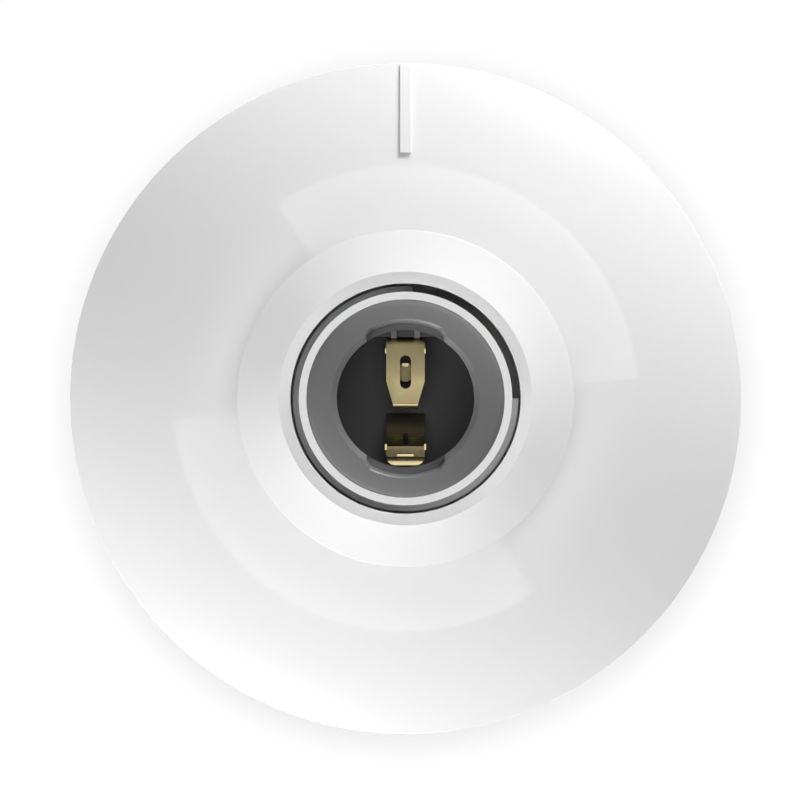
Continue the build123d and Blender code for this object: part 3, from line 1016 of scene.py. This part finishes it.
@dataclass
class Cover:
    """The domed white cover: brim, crown, neck, lip, and the threaded collar inside."""

    radius: float = 60.0
    wall: float = 2.2
    edge_gap: float = 0.4
    skirt_top: float = 13.0
    rim_slope: float = 32.0
    brim_inner_slope: float = 18.7
    crease_radius: float = 41.2
    crown_slope: float = 18.7
    crown_inner_slope: float = 2.0
    neck_radius: float = 29.2
    neck_rise: float = 9.3
    cone_rise: float = 3.4
    lip_radius: float = 21.9
    lip_dip: float = 0.1
    hole_radius: float = 19.9
    collar_radius: float = 22.3
    seat_height: float = 21.0
    web_count: int = 6
    web_wall: float = 1.6
    web_bite: float = 0.4
    web_top_bite: float = 0.6
    bar_width: float = 2.05
    bar_proud: float = 0.5
    bar_start: float = 43.4
    bar_end: float = 59.7
    bar_root: float = 0.6
    bar_softness: float = 0.16
    thread: ThreadRidge = ThreadRidge(depth=-1.2, pitch=6.0, turns=0.7, top=29.3, top_angle=350.0)
    edge_round: float = 0.35
    rim_round: float = 0.8
    foot_round: float = 0.3
    neck_round: float = 0.1
    lip_round: float = 0.12
    collar_round: float = 0.15
    inner_round: float = 0.4
    inner_trim: float = 2.0
    brim_steps: int = 24
    crown_steps: int = 20
    bar_steps: int = 32
    segments: int = 288

    def __post_init__(self) -> None:
        """Work out the arcs and levels that follow from the sizes."""
        rim = (self.radius, self.skirt_top)
        self.brim = Arc.from_slopes(rim, self.rim_slope, self.crease_radius, self.brim_inner_slope)
        crease = self.brim.at(self.brim_inner_slope)
        self.crown = Arc.from_slopes(crease, self.crown_slope, self.neck_radius, self.crown_inner_slope)
        self.crown_height = self.crown.at(self.crown_inner_slope)[1]
        self.neck_top = self.crown_height + self.neck_rise
        self.lip_height = self.neck_top + self.cone_rise
        self.cone_slope = self.cone_rise / (self.neck_radius - self.lip_radius)

    def under_cone(self, radius: float) -> float:
        """Height of the underside of the neck's sloping top at a radius."""
        drop = self.wall * hypot(1, self.cone_slope)
        return self.neck_top + (self.neck_radius - radius) * self.cone_slope - drop

    def section(self) -> list[Point]:
        """The cover's section, outside first and back along the inside.

        Returns:
            The points, radius and height, in millimetres.
        """
        rim = (self.radius, self.skirt_top)
        inner_neck = self.neck_radius - self.wall
        brim_inside = self.brim.inset(self.wall)
        crown_inside = self.crown.inset(self.wall)
        inner_skirt = self.radius - self.wall
        brim = self.brim.points(self.rim_slope, self.brim_inner_slope, self.brim_steps)[1:]
        crown = self.crown.points(self.crown_slope, self.crown_inner_slope, self.crown_steps)[1:-1]
        outside = [
            Corner((self.radius, self.edge_gap), self.edge_round),
            Corner(rim, self.rim_round),
            *(Corner(place) for place in brim + crown),
            Corner((self.neck_radius, self.crown_height), self.foot_round),
            Corner((self.neck_radius, self.neck_top), self.neck_round),
            Corner((self.lip_radius, self.lip_height), self.lip_round),
            Corner((self.hole_radius, self.lip_height - self.lip_dip), self.lip_round),
            Corner((self.hole_radius, self.seat_height), self.collar_round),
            Corner((self.collar_radius, self.seat_height), self.collar_round),
            Corner((self.collar_radius, self.under_cone(self.collar_radius)), self.inner_round),
            Corner((inner_neck, self.under_cone(inner_neck)), self.inner_round),
        ]
        crown_start, brim_end = self.crown_inner_slope + self.inner_trim, self.rim_slope - self.inner_trim
        under_crown = crown_inside.points(crown_start, self.crown_slope, self.crown_steps // 2)
        under_brim = brim_inside.points(self.brim_inner_slope, brim_end, self.brim_steps // 2)
        inside = [
            Corner(crown_inside.at_radius(inner_neck), self.foot_round),
            *(Corner(place) for place in under_crown + under_brim),
            Corner(brim_inside.at_radius(inner_skirt), self.foot_round),
            Corner((inner_skirt, self.edge_gap), self.edge_round),
        ]
        return rounded(outside + inside, closed=True)

    def brim_bar(self, shop: Workshop) -> bpy.types.Object:
        """Make the plain raised bar that runs down the brim.

        Args:
            shop: The trees and finishes.

        Returns:
            The bar.
        """
        root = self.brim.inset(self.bar_root)
        top = self.brim.inset(-self.bar_proud)
        half = self.bar_width / 2
        work = bmesh.new()
        rows = []
        for radius in spread(self.bar_start, self.bar_end, self.bar_steps):
            low, high = root.at_radius(radius)[1], top.at_radius(radius)[1]
            ring = oblong((-half, half), (low, high))
            rows.append([work.verts.new((x * MM, radius * MM, z * MM)) for x, z in ring])
        for a, b in zip(rows, rows[1:]):
            for j in range(4):
                work.faces.new((a[j], a[(j + 1) % 4], b[(j + 1) % 4], b[j]))
        work.faces.new(rows[0])
        work.faces.new(rows[-1])
        bmesh.ops.recalc_face_normals(work, faces=work.faces)
        mesh = bpy.data.meshes.new("brim_bar")
        work.to_mesh(mesh)
        work.free()
        bar = new_piece("brim_bar", mesh, shop.white)
        soften(bar, self.bar_softness, segments=3)
        return smooth(bar)

    def webs(self, shop: Workshop) -> bpy.types.Object:
        """Make the upright webs between the collar and the neck.

        Args:
            shop: The trees and finishes.

        Returns:
            The webs, as one piece.
        """
        inner = self.collar_radius - self.web_bite
        outer = self.neck_radius - self.wall + self.web_bite
        half = self.web_wall / 2
        outline = oblong((inner, outer), (-half, half))
        web = prism(outline, self.crown_height, self.under_cone(outer) + self.web_top_bite)
        first = radians(180 / self.web_count)
        webs = shop.ring.run("collar_webs", web, shop.white, count=self.web_count, first_angle=first)
        return smooth(webs)

    def build(self, shop: Workshop) -> None:
        """Make the cover's pieces and hang them on its body.

        Args:
            shop: The trees and finishes.
        """
        shell = shop.turn("cover_shell", self.section(), shop.white, self.segments)
        dress(shell, Body.COVER, Slot.WHITE, "cover")
        dress(self.brim_bar(shop), Body.COVER, Slot.WHITE)
        dress(self.webs(shop), Body.COVER, Slot.WHITE)
        dress(self.thread.build("collar_thread", self.hole_radius, shop), Body.COVER, Slot.WHITE)


@dataclass
class Base:
    """The white base: plate, ribs, terminal pedestals and the threaded tube that carries the cover."""

    tube_radius: float = 18.3
    softness: float = 0.2
    thread: ThreadRidge = ThreadRidge(depth=1.35, pitch=6.0, turns=0.76, top=32.5)

    def build(self, shop: Workshop) -> None:
        """Make the base and its thread and hang them on the base body.

        Args:
            shop: The trees and finishes.
        """
        moulding = node_copy("base", "base_moulding", shop.base, self.softness)
        dress(moulding, Body.BASE, Slot.WHITE, "base")
        dress(self.thread.build("tube_thread", self.tube_radius, shop), Body.BASE, Slot.WHITE)


@dataclass
class Socket:
    """The dark lamp socket: lead-in dish, lamp thread, chamber, notches and lugs."""

    radius: float = 16.98
    bottom: float = 9.0
    floor: float = 12.0
    chamber_radius: float = 12.65
    chamber_top: float = 20.5
    bore_radius: float = 11.8
    bore_draft: float = 0.3
    bore_top: float = 40.0
    throat_radius: float = 12.75
    throat_top: float = 40.5
    dish_radius: float = 16.75
    dish_slopes: Point = (10.0, 16.0)  # at the throat, at the rim
    top: float = 41.5
    thread_depth: float = 0.95
    thread_pitch: float = 3.629
    thread_gap: float = 0.3
    notch_radius: float = 13.07
    notch_half: float = 5.8
    notch_mouth: Point = (6.6, 10.5)  # its corner, along X and Y
    notch_floor: float = 34.3
    notch_edge: float = 40.0
    notch_flare: float = 1.18
    lug_low: float = 1.535
    lug_high: float = 2.605
    lug_start: float = 10.65
    lug_end: float = 12.9
    lug_tops: Point = (23.3, 23.8)  # at their start and end
    shelf_half: float = 5.6
    shelf_start: float = 10.85
    shelf_tops: Point = (21.7, 22.3)  # at its start and end
    shelf_rise: float = 2.0
    lug_softness: float = 0.08
    foot_round: float = 0.3
    rim_round: float = 0.04
    throat_round: float = 0.15
    bore_round: float = 0.12
    bore_steps: int = 120
    mouth_steps: int = 3
    dish_steps: int = 12
    notch_steps: int = 24
    segments: int = 192

    def section(self) -> list[Point]:
        """The socket's section, from the axis along the outside to the axis again.

        Returns:
            The points, radius and height, in millimetres.
        """
        run = self.bore_top - self.chamber_top
        shares = spread(0, 1, self.bore_steps)[self.mouth_steps :]
        bore = [(self.bore_radius + self.bore_draft * part, self.bore_top - run * part) for part in shares]
        inner, outer = (radians(slope) for slope in self.dish_slopes)
        curve = (self.dish_radius - self.throat_radius) / (sin(outer) - sin(inner))
        turns = spread(outer, inner, self.dish_steps)[1:-1]
        dish = [
            Corner((
                self.throat_radius + curve * (sin(turn) - sin(inner)),
                self.throat_top + curve * (cos(inner) - cos(turn)),
            ))
            for turn in turns
        ]
        mouth = rounded(
            [
                Corner((0, self.bottom)),
                Corner((self.radius, self.bottom), self.foot_round),
                Corner((self.radius, self.top), self.rim_round),
                Corner((self.dish_radius, self.top), self.rim_round),
                *dish,
                Corner((self.throat_radius, self.throat_top), self.throat_round),
                Corner((self.bore_radius, self.bore_top), self.bore_round),
                Corner(bore[0]),
            ],
            closed=False,
        )
        return [
            *mouth,
            *bore[1:],
            (self.chamber_radius, self.chamber_top),
            (self.chamber_radius, self.floor),
            (0, self.floor),
        ]

    def ends(self, start: float, low: float, tops: Point) -> tuple[Triple, Triple]:
        """Both ends of a block that runs out to the chamber's wall, with its bottom and top heights."""
        return (start, low, tops[0]), (self.lug_end, low, tops[1])

    def notch(self, low: float, flare: float = 1.0) -> bpy.types.Mesh:
        """The cutter of both notches, from a level up.

        Args:
            low: The level of their floor.
            flare: How many times as wide they are at the top.

        Returns:
            The closed mesh.
        """
        side = asin(self.notch_half / self.notch_radius)
        turns = spread(pi / 2 - side, pi / 2 + side, self.notch_steps)
        arc = [(self.notch_radius * cos(turn), self.notch_radius * sin(turn)) for turn in turns]
        x, y = self.notch_mouth
        half = [(x, y), *arc, (-x, y)]
        return prism(half + [(-a, -b) for a, b in half], low, self.top + CLEAR, flare)

    def build(self, shop: Workshop) -> None:
        """Make the socket and hang it on the base body.

        Args:
            shop: The trees and finishes.
        """
        cup = shop.turn(
            "socket_moulding",
            self.section(),
            shop.dark,
            self.segments,
            closed=False,
            thread_depth=self.thread_depth * MM,
            thread_pitch=self.thread_pitch * MM,
            thread_wall=(self.bore_radius + self.bore_draft / 2) * MM,
            thread_low=self.chamber_top * MM,
            thread_high=(self.notch_floor - self.thread_gap) * MM,
        )
        carve(cup, self.notch(self.notch_floor), Carve.CUT)
        carve(cup, self.notch(self.notch_edge, self.notch_flare), Carve.CUT)
        low = self.floor + self.shelf_rise
        start, end = self.ends(self.shelf_start, low, self.shelf_tops)
        carve(cup, wedge((-self.shelf_half, self.shelf_half), start, end), Carve.JOIN)
        dress(smooth(cup), Body.BASE, Slot.DARK, "socket_core")
        start, end = self.ends(self.lug_start, low, self.lug_tops)
        guides = new_piece("contact_guides", wedge((self.lug_low, self.lug_high), start, end), shop.grey)
        carve(guides, wedge((-self.lug_high, -self.lug_low), start, end), Carve.JOIN)
        soften(guides, self.lug_softness)
        dress(smooth(guides), Body.BASE, Slot.DARK)


@dataclass
class Contacts:
    """The two folded brass contacts and the rivets that hold them."""

    width: float = 6.85
    thickness: float = 0.6
    bend: float = 0.85
    softness: float = 0.06
    floor: float = Socket.floor
    roof: float = 20.6
    cut_rise: float = 4.0
    foot_start: float = 2.9
    riser: Point = (10.6, 18.725)  # its top corner, along Y and Z
    fold: Point = (9.68, 18.8)  # along Y and Z
    tongue_end: float = -0.85
    nose_drops: tuple[Point, ...] = ((-1.25, 0.05), (-1.6, 0.21), (-1.87, 0.31))  # places along Y, drops
    slot_half: float = 0.975
    tongue_slot: Point = (1.75, 7.66)
    relief: Point = (6.3, 8.6)
    tongue_slopes: Point = (0.0, 3.6)
    taper_start: float = 3.06
    tip_half: float = 2.2
    tip: float = -1.1
    trim_end: float = -4.0
    trim_side: float = 2.0
    nib_place: float = 8.5
    side_nib_place: float = -8.6
    nib_size: Triple = (0.22, 0.52, 0.35)  # how far it stands out, half its length, depth
    nib_rises: Point = (0.05, 0.22)
    side_foot: Point = (-6.95, -2.43)  # both ends along Y
    ramp_start: Point = (-2.6, 12.3)  # along Y and Z
    ramp_end: float = -8.5
    ramp_slopes: Point = (60.0, 36.0)
    bead_width: float = 0.2
    bead_slope: float = 16.0
    band_slope: float = 23.4
    lip_start: float = 10.35
    lip_slopes: Point = (37.0, 7.0)
    lip_end: float = 11.8
    lip_corner: float = 1.6
    side_slot: Point = (-8.2, -6.2)
    side_slot_half: float = 0.5
    side_slit: Point = (-10.12, -9.7)
    side_slit_half: float = 1.42
    side_cut_rise: float = 1.2
    stamp_slope: float = 10.0
    stamp_bites: Point = (0.1, 0.14)
    stamp_side_bite: float = 0.03
    centre_rivet: Point = (4.6, 1.7)  # place along Y, radius of the head
    side_rivet: Point = (-5.0, 1.2)  # place along Y, radius of the head
    rivet_tail_radius: float = 1.6
    rivet_tail: Point = (7.4, 8.2)  # its bottom and top
    rivet_tail_round: float = 0.2
    rivet_shank: float = 1.0
    rivet_height: float = 0.85
    rivet_round: float = 0.15
    rivet_rim: float = 0.7
    burr_half: float = 0.62
    burr_length: float = 0.4
    burr_rises: Point = (-0.03, 0.09)  # against the head's top, at the burr's inner and outer end
    slot_steps: int = 12
    tongue_steps: int = 8
    ramp_steps: int = 12
    lip_steps: int = 10
    corner_steps: int = 6
    rivet_segments: int = 40

    def strip(self, name: str, path: list[Point], bends: int, shop: Workshop) -> bpy.types.Object:
        """Fold a strip along a path.

        Args:
            name: The piece's name.
            path: The corners of its outer face, along Y and Z, with the metal on their left.
            bends: How many corners after the first are bent round; any others lie on a roll already.
            shop: The trees and finishes.

        Returns:
            The strip.
        """
        radius = self.bend - self.thickness / 2
        middle = offset_path(path, self.thickness / 2)
        corners = [Corner(place, radius if i <= bends else 0.0) for i, place in enumerate(middle)]
        line = line_mesh(rounded(corners, closed=False, steps=10), closed=False, upright=True)
        made = shop.strip.run(name, line, shop.brass, width=self.width * MM, thickness=self.thickness * MM)
        return smooth(made)

    def slot(self, half: float, low: float, high: float) -> list[Point]:
        """The outline of a straight slot with round ends along Y.

        Args:
            half: Half its width.
            low: Its lower end along Y.
            high: Its upper end.

        Returns:
            The points, anticlockwise.
        """
        turns = spread(0, pi, self.slot_steps)
        far = [(half * cos(turn), high - half + half * sin(turn)) for turn in turns]
        near = [(-half * cos(turn), low + half - half * sin(turn)) for turn in turns]
        return far + near

    def nibs(self, obj: bpy.types.Object, place: float, top: float) -> None:
        """Add the small nibs on both edges of a strip, which lean towards the axis.

        Args:
            obj: The strip.
            place: The nibs' middle along Y.
            top: The strip's upper face there.
        """
        proud, half, deep = self.nib_size
        tops = [top + rise for rise in sorted(self.nib_rises, reverse=place < 0)]
        ends = [(place + side * half, level - deep, level) for side, level in zip((-1, 1), tops)]
        inner, outer = self.width / 2 - proud / 2, self.width / 2 + proud
        for sides in ((inner, outer), (-outer, -inner)):
            carve(obj, wedge(sides, *ends), Carve.JOIN)

    def centre(self, shop: Workshop) -> bpy.types.Object:
        """Make the centre contact: foot, riser, fold, and a slotted tongue with a bent nose.

        Args:
            shop: The trees and finishes.

        Returns:
            The contact.
        """
        start, end = self.tongue_slopes
        run = Arc.from_slopes(self.fold, start, self.tongue_end, end)
        tongue = run.points(start, end, self.tongue_steps)
        crease = tongue[-1]
        nose = [(y, crease[1] - drop) for y, drop in self.nose_drops]
        foot = [(self.foot_start, self.floor), (self.riser[0], self.floor)]
        path = [*foot, self.riser, *tongue, *nose]
        spring = self.strip("centre_spring", path, bends=3, shop=shop)
        self.nibs(spring, self.nib_place, self.fold[1])
        cut_low = self.floor + self.cut_rise
        carve(spring, prism(self.slot(self.slot_half, *self.tongue_slot), cut_low, self.roof), Carve.CUT)
        carve(spring, prism(self.slot(self.slot_half, *self.relief), self.floor - CLEAR, cut_low), Carve.CUT)
        half = self.width / 2
        outside = half + self.trim_side
        right = [
            (half, self.taper_start),
            (self.tip_half, self.tip),
            (self.tip_half, self.trim_end),
            (outside, self.trim_end),
            (outside, self.taper_start),
        ]
        left = [(-x, y) for x, y in reversed(right)]
        for outline in (right, left):
            carve(spring, prism(outline, cut_low, self.roof), Carve.CUT)
        soften(spring, self.softness)
        return smooth(spring)

    def side(self, shop: Workshop) -> bpy.types.Object:
        """Make the side contact: foot, steep ramp, and a rolled lip with a slit.

        Args:
            shop: The trees and finishes.

        Returns:
            The contact.
        """
        start, end = self.ramp_slopes
        ramp = Arc.from_slopes(self.ramp_start, start, self.ramp_end, end)
        climb = ramp.points(start, end, self.ramp_steps)
        y, z = climb[-1]
        bead = (y - self.bead_width, z + self.bead_width * tan(radians(self.bead_slope)))
        slope = tan(radians(self.band_slope))
        kink = (-self.lip_start, bead[1] + (self.lip_start + bead[0]) * slope)
        lip = Arc.from_slopes(kink, self.lip_slopes[0], -self.lip_end, self.lip_slopes[1])
        roll = lip.points(*self.lip_slopes, self.lip_steps)
        foot = [(place, self.floor) for place in self.side_foot]
        spring = self.strip("side_spring", [*foot, *climb, bead, *roll], bends=1, shop=shop)
        half, corner = self.width / 2, self.lip_corner
        turns = spread(0, pi / 2, self.corner_steps)
        right = [
            (half - corner + corner * sin(turn), -self.lip_end + corner - corner * cos(turn))
            for turn in turns
        ]
        left = [(-x, y) for x, y in reversed(right)]
        outline = [*right, (half, 0), (-half, 0), *left]
        carve(spring, prism(outline, self.floor - CLEAR, self.roof), Carve.KEEP)
        self.nibs(spring, self.side_nib_place, bead[1])
        cuts = ((self.side_slot_half, self.side_slot), (self.side_slit_half, self.side_slit))
        for reach, along in cuts:
            outline = oblong((-reach, reach), along)
            carve(spring, prism(outline, self.floor + self.side_cut_rise, self.roof), Carve.CUT)
        self.stamp(spring, bead, slope)
        soften(spring, self.softness)
        return smooth(spring)

    def stamp(self, obj: bpy.types.Object, bead: Point, slope: float) -> None:
        """Fill most of the lip's slit with the flatter web that the stamping leaves there.

        Args:
            obj: The side contact.
            bead: The lower end of the band that the slit lies on.
            slope: The band's rise per length.
        """
        low, high = (end - bite for end, bite in zip(self.side_slit, self.stamp_bites))
        top = bead[1] + (bead[0] - low) * slope
        fall = (high - low) * tan(radians(self.stamp_slope))
        reach = self.side_slit_half + self.stamp_side_bite
        near = (low, top - self.thickness, top)
        far = (high, top - fall - self.thickness, top - fall)
        carve(obj, wedge((-reach, reach), near, far), Carve.JOIN)

    def rivet(self, name: str, place: float, head: float, shop: Workshop) -> bpy.types.Object:
        """Make a rivet: a round head on the contact's foot and a formed tail under the terminal strip.

        Args:
            name: The piece's name.
            place: Its place along Y.
            head: The radius of its head.
            shop: The trees and finishes.

        Returns:
            The rivet.
        """
        foot = self.floor + self.thickness
        top = foot + self.rivet_height
        tail_low, tail_top = self.rivet_tail
        corners = [
            Corner((0, tail_low)),
            Corner((self.rivet_tail_radius, tail_low), self.rivet_tail_round),
            Corner((self.rivet_tail_radius, tail_top)),
            Corner((self.rivet_shank, tail_top)),
            Corner((self.rivet_shank, foot)),
            Corner((head, foot)),
            Corner((head, top), self.rivet_round),
            Corner((head - self.rivet_rim, top)),
            Corner((0, top)),
        ]
        section = rounded(corners, closed=False)
        made = shop.turn(name, section, shop.rivet_brass, self.rivet_segments, closed=False)
        made.data.transform(Matrix.Translation((0, place * MM, 0)))
        start = place + head - self.burr_length
        near, far = (top + rise for rise in self.burr_rises)
        ends = (start, foot, near), (start + self.burr_length, foot, far)
        burr = wedge((-self.burr_half, self.burr_half), *ends)
        carve(made, burr, Carve.JOIN)
        return smooth(made)

    def build(self, shop: Workshop) -> None:
        """Make the contacts and rivets and hang them on the base body.

        Args:
            shop: The trees and finishes.
        """
        dress(self.centre(shop), Body.BASE, Slot.BRASS, "centre_contact")
        dress(self.side(shop), Body.BASE, Slot.BRASS, "side_contact")
        rivets = (("centre_contact_rivet", self.centre_rivet), ("side_contact_rivet", self.side_rivet))
        for node, (place, head) in rivets:
            dress(self.rivet(f"{node}_head", place, head, shop), Body.BASE, Slot.BRASS, node)


@dataclass
class Terminals:
    """The wiring terminals: brass strips, captive nuts, clamp washers and slotted screws."""

    strip_softness: float = 0.08
    steel_softness: float = 0.12
    distance: float = 31.0
    screw_tip: float = 3.6
    shank_radius: float = 1.95
    head_radius: float = 3.4
    head_low: float = 10.0
    head_top: float = 12.4
    slot_half: float = 0.45
    slot_floor: float = 11.3
    tip_chamfer: Point = (0.4, 0.5)  # inwards, upwards
    head_rounds: Point = (0.12, 0.45)  # below, above
    core_screw_place: float = 14.45
    core_head_radius: float = 2.7
    core_head: Point = (3.8, 5.6)  # its bottom and top
    core_head_rounds: Point = (0.35, 0.1)  # below, above
    core_shank_radius: float = 1.45
    core_tip_radius: float = 1.0
    core_tip: Point = (17.4, 18.0)  # where the taper starts and ends
    core_slot_half: float = 0.4
    core_slot_reach: float = 4.0
    core_slot: Point = (3.0, 4.6)  # the cutter's bottom and top
    screw_segments: int = 56
    core_segments: int = 48

    def screw(self, name: str, side: int, shop: Workshop) -> bpy.types.Object:
        """Turn a cheese-head screw and cut its slot.

        Args:
            name: The piece's name.
            side: 1 or -1 along Y.
            shop: The trees and finishes.

        Returns:
            The screw.
        """
        inset, rise = self.tip_chamfer
        under, over = self.head_rounds
        corners = [
            Corner((0, self.screw_tip)),
            Corner((self.shank_radius - inset, self.screw_tip)),
            Corner((self.shank_radius, self.screw_tip + rise)),
            Corner((self.shank_radius, self.head_low)),
            Corner((self.head_radius, self.head_low), under),
            Corner((self.head_radius, self.head_top), over),
            Corner((0, self.head_top)),
        ]
        section = rounded(corners, closed=False, steps=5)
        made = shop.turn(name, section, shop.zinc, self.screw_segments, closed=False)
        reach = self.head_radius + CLEAR
        slot = oblong((-reach, reach), (-self.slot_half, self.slot_half))
        carve(made, prism(slot, self.slot_floor, self.head_top + CLEAR), Carve.CUT)
        made.data.transform(Matrix.Translation((0, side * self.distance * MM, 0)))
        return smooth(made)

    def core_screws(self, shop: Workshop) -> bpy.types.Object:
        """Make the two screws that hold the socket from the back.

        Args:
            shop: The trees and finishes.

        Returns:
            Both screws, as one piece.
        """
        head_low, head_top = self.core_head
        under, over = self.core_head_rounds
        taper, tip = self.core_tip
        corners = [
            Corner((0, head_low)),
            Corner((self.core_head_radius, head_low), under),
            Corner((self.core_head_radius, head_top), over),
            Corner((self.core_shank_radius, head_top)),
            Corner((self.core_shank_radius, taper)),
            Corner((self.core_tip_radius, tip)),
            Corner((0, tip)),
        ]
        section = rounded(corners, closed=False, steps=5)
        one = shop.turn("core_screw", section, shop.zinc, self.core_segments, closed=False)
        half, reach = self.core_slot_half, self.core_slot_reach
        carve(one, prism(oblong((-half, half), (-reach, reach)), *self.core_slot), Carve.CUT)
        mesh = one.data
        mesh.transform(Matrix.Translation((self.core_screw_place * MM, 0, 0)))
        bpy.data.objects.remove(one)
        return smooth(shop.ring.run("core_screw_pair", mesh, shop.zinc, count=2, first_angle=0.0))

    def build(self, shop: Workshop) -> None:
        """Make both terminals and the socket's screws and hang them on their bodies.

        Args:
            shop: The trees and finishes.
        """
        for name, side, body in (("live", 1, Body.LIVE_SCREW), ("neutral", -1, Body.NEUTRAL_SCREW)):
            copies = (
                ("terminal_strip", "bar", shop.brass, self.strip_softness, Body.BASE, Slot.BRASS),
                ("terminal_nut", "block", shop.zinc, self.steel_softness, Body.BASE, Slot.STEEL),
                ("clamp_washer", "plate", shop.zinc, self.steel_softness, body, Slot.STEEL),
            )
            for part, form, finish, softness, holder, slot in copies:
                node = f"{name}_{part}"
                dress(node_copy(node, f"{node}_{form}", finish, softness), holder, slot, node)
            screw = f"{name}_terminal_screw"
            dress(self.screw(f"{screw}_turned", side, shop), body, Slot.STEEL, screw)
        dress(self.core_screws(shop), Body.BASE, Slot.STEEL, "core_screws")


@dataclass(frozen=True)
class Studio:
    """The white floor, the soft light and the camera straight in front; lengths are in metres here."""

    sky: float = 0.062
    sky_lean: float = 330.0
    panel: float = 1.36
    panel_polar: Point = (5.5, 40.8)
    panel_turn: Point = (5.0, 123.5)
    panel_edge: float = 0.15
    strip_light: float = 41.0
    strip_sharpness: float = 28.0
    strip_turn: float = 64.0
    camera_height: float = 0.7
    lens: float = 172.87
    image_size: float = 800.0  # pixels
    image_shift: Point = (-5.5, -1.5)  # pixels
    near_clip: float = 0.01
    floor_half: float = 3.0
    floor_colour: Triple = (0.8, 0.8, 0.8)
    floor_level: float = 1.02
    shade_reach: float = 0.008
    shade_depth: float = 0.31
    shade_turn: float = 100.0
    shade_lean: float = 0.25
    shade_samples: int = 16

    def band(self, graph: NodeGraph, angle: bpy.types.NodeSocket, limits: Point) -> bpy.types.NodeSocket:
        """A pattern that is 1 between two angles and 0 beyond them, with a narrow soft edge.

        Args:
            graph: The world's nodes.
            angle: The angle, in radians.
            limits: The two angles, in degrees.

        Returns:
            The result's socket.
        """
        edge = radians(self.panel_edge)
        low, high = (radians(limit) for limit in limits)
        rise = graph.ramp(angle, low - edge, low + edge)
        return graph.math("MULTIPLY", rise, graph.ramp(angle, high + edge, high - edge))

    def world(self) -> None:
        """Light the object with a dim sky, two panels overhead and two low lights on opposite sides."""
        world = bpy.data.worlds.new("studio")
        world.use_nodes = True
        bpy.context.scene.world = world
        graph = NodeGraph(world.node_tree)
        world.node_tree.nodes.clear()
        way = graph.add("ShaderNodeTexCoord").outputs["Generated"]
        x, y, z = graph.add("ShaderNodeSeparateXYZ", {0: way}).outputs
        along = graph.dot(way, (*heading(self.strip_turn), 0))
        lobe = graph.math("POWER", graph.math("ABSOLUTE", along), self.strip_sharpness)
        polar = graph.math("ARCCOSINE", z)
        turn = graph.math("WRAP", graph.math("ARCTAN2", y, x), pi, 0.0)
        ring = self.band(graph, polar, self.panel_polar)
        sector = self.band(graph, turn, self.panel_turn)
        panels = graph.math("MULTIPLY", graph.math("MULTIPLY", ring, sector), self.panel)
        lean = graph.dot(way, (*heading(self.sky_lean, self.sky), 0))
        sky = graph.math("ADD", lean, self.sky)
        lit = graph.math("ADD", graph.math("MULTIPLY_ADD", lobe, self.strip_light, sky), panels)
        rays = graph.add("ShaderNodeLightPath").outputs
        plain = graph.math("MAXIMUM", rays["Is Camera Ray"], rays["Is Transmission Ray"])
        studio = graph.add("ShaderNodeBackground", {"Color": WHITE, "Strength": lit})
        white = graph.add("ShaderNodeBackground", {"Color": WHITE, "Strength": 1.0})
        both = graph.add("ShaderNodeMixShader", {0: plain, 1: studio.outputs[0], 2: white.outputs[0]})
        graph.add("ShaderNodeOutputWorld", {0: both.outputs[0]})

    def floor(self) -> None:
        """Lay the white floor, which glows white where it is seen, with a painted shadow near the object;
        from below it can be seen through.
        """
        span = (-self.floor_half, self.floor_half)
        mesh = bpy.data.meshes.new("floor")
        mesh.from_pydata([(x, y, 0) for x, y in oblong(span, span)], [], [(0, 1, 2, 3)])
        material = bpy.data.materials.new("white_floor")
        material.use_nodes = True
        graph = NodeGraph(material.node_tree)
        material.node_tree.nodes.clear()
        rays = graph.add("ShaderNodeLightPath").outputs
        seen = graph.math("MAXIMUM", rays["Is Camera Ray"], rays["Is Glossy Ray"])
        matt = graph.add("ShaderNodeBsdfDiffuse", {"Color": (*self.floor_colour, 1)})
        # Painted shadow: where the floor is seen, ambient occlusion near the object darkens its glow,
        # leaning to one side.
        lean = (*heading(self.shade_turn, self.shade_lean), 1)
        tilted = graph.add("ShaderNodeVectorMath", {0: lean}, operation="NORMALIZE").outputs[0]
        nearby = {"Distance": self.shade_reach, "Normal": tilted}
        open_sky = graph.add("ShaderNodeAmbientOcclusion", nearby, samples=self.shade_samples).outputs["AO"]
        level = graph.math("MULTIPLY_ADD", open_sky, self.shade_depth, self.floor_level - self.shade_depth)
        shown = graph.add("ShaderNodeEmission", {"Color": WHITE, "Strength": level})
        front = graph.add("ShaderNodeMixShader", {0: seen, 1: matt.outputs[0], 2: shown.outputs[0]})
        clear = graph.add("ShaderNodeBsdfTransparent")
        below = graph.add("ShaderNodeNewGeometry").outputs["Backfacing"]
        sides = graph.add("ShaderNodeMixShader", {0: below, 1: front.outputs[0], 2: clear.outputs[0]})
        graph.add("ShaderNodeOutputMaterial", {0: sides.outputs[0]})
        new_piece("floor", mesh, material)

    def camera(self) -> None:
        """Set the camera on the socket's axis, at the photograph's framing."""
        data = bpy.data.cameras.new("camera")
        data.lens = self.lens
        data.shift_x = self.image_shift[0] / self.image_size
        data.shift_y = self.image_shift[1] / self.image_size
        data.clip_start = self.near_clip
        camera = bpy.data.objects.new("camera", data)
        camera.location = (0, 0, self.camera_height)
        bpy.context.scene.collection.objects.link(camera)
        bpy.context.scene.camera = camera

    def build(self) -> None:
        """Set up the light, the floor, the camera and the view."""
        self.world()
        self.floor()
        self.camera()
        bpy.context.scene.view_settings.view_transform = "Standard"


def main() -> None:
    """Build the lampholder piece by piece, then the studio."""
    logging.basicConfig(level=logging.INFO, format="%(message)s")
    shop = Workshop.open()
    for part in (Cover(), Base(), Socket(), Contacts(), Terminals()):
        part.build(shop)
    Studio().build()


if __name__ == "__main__":
    main()
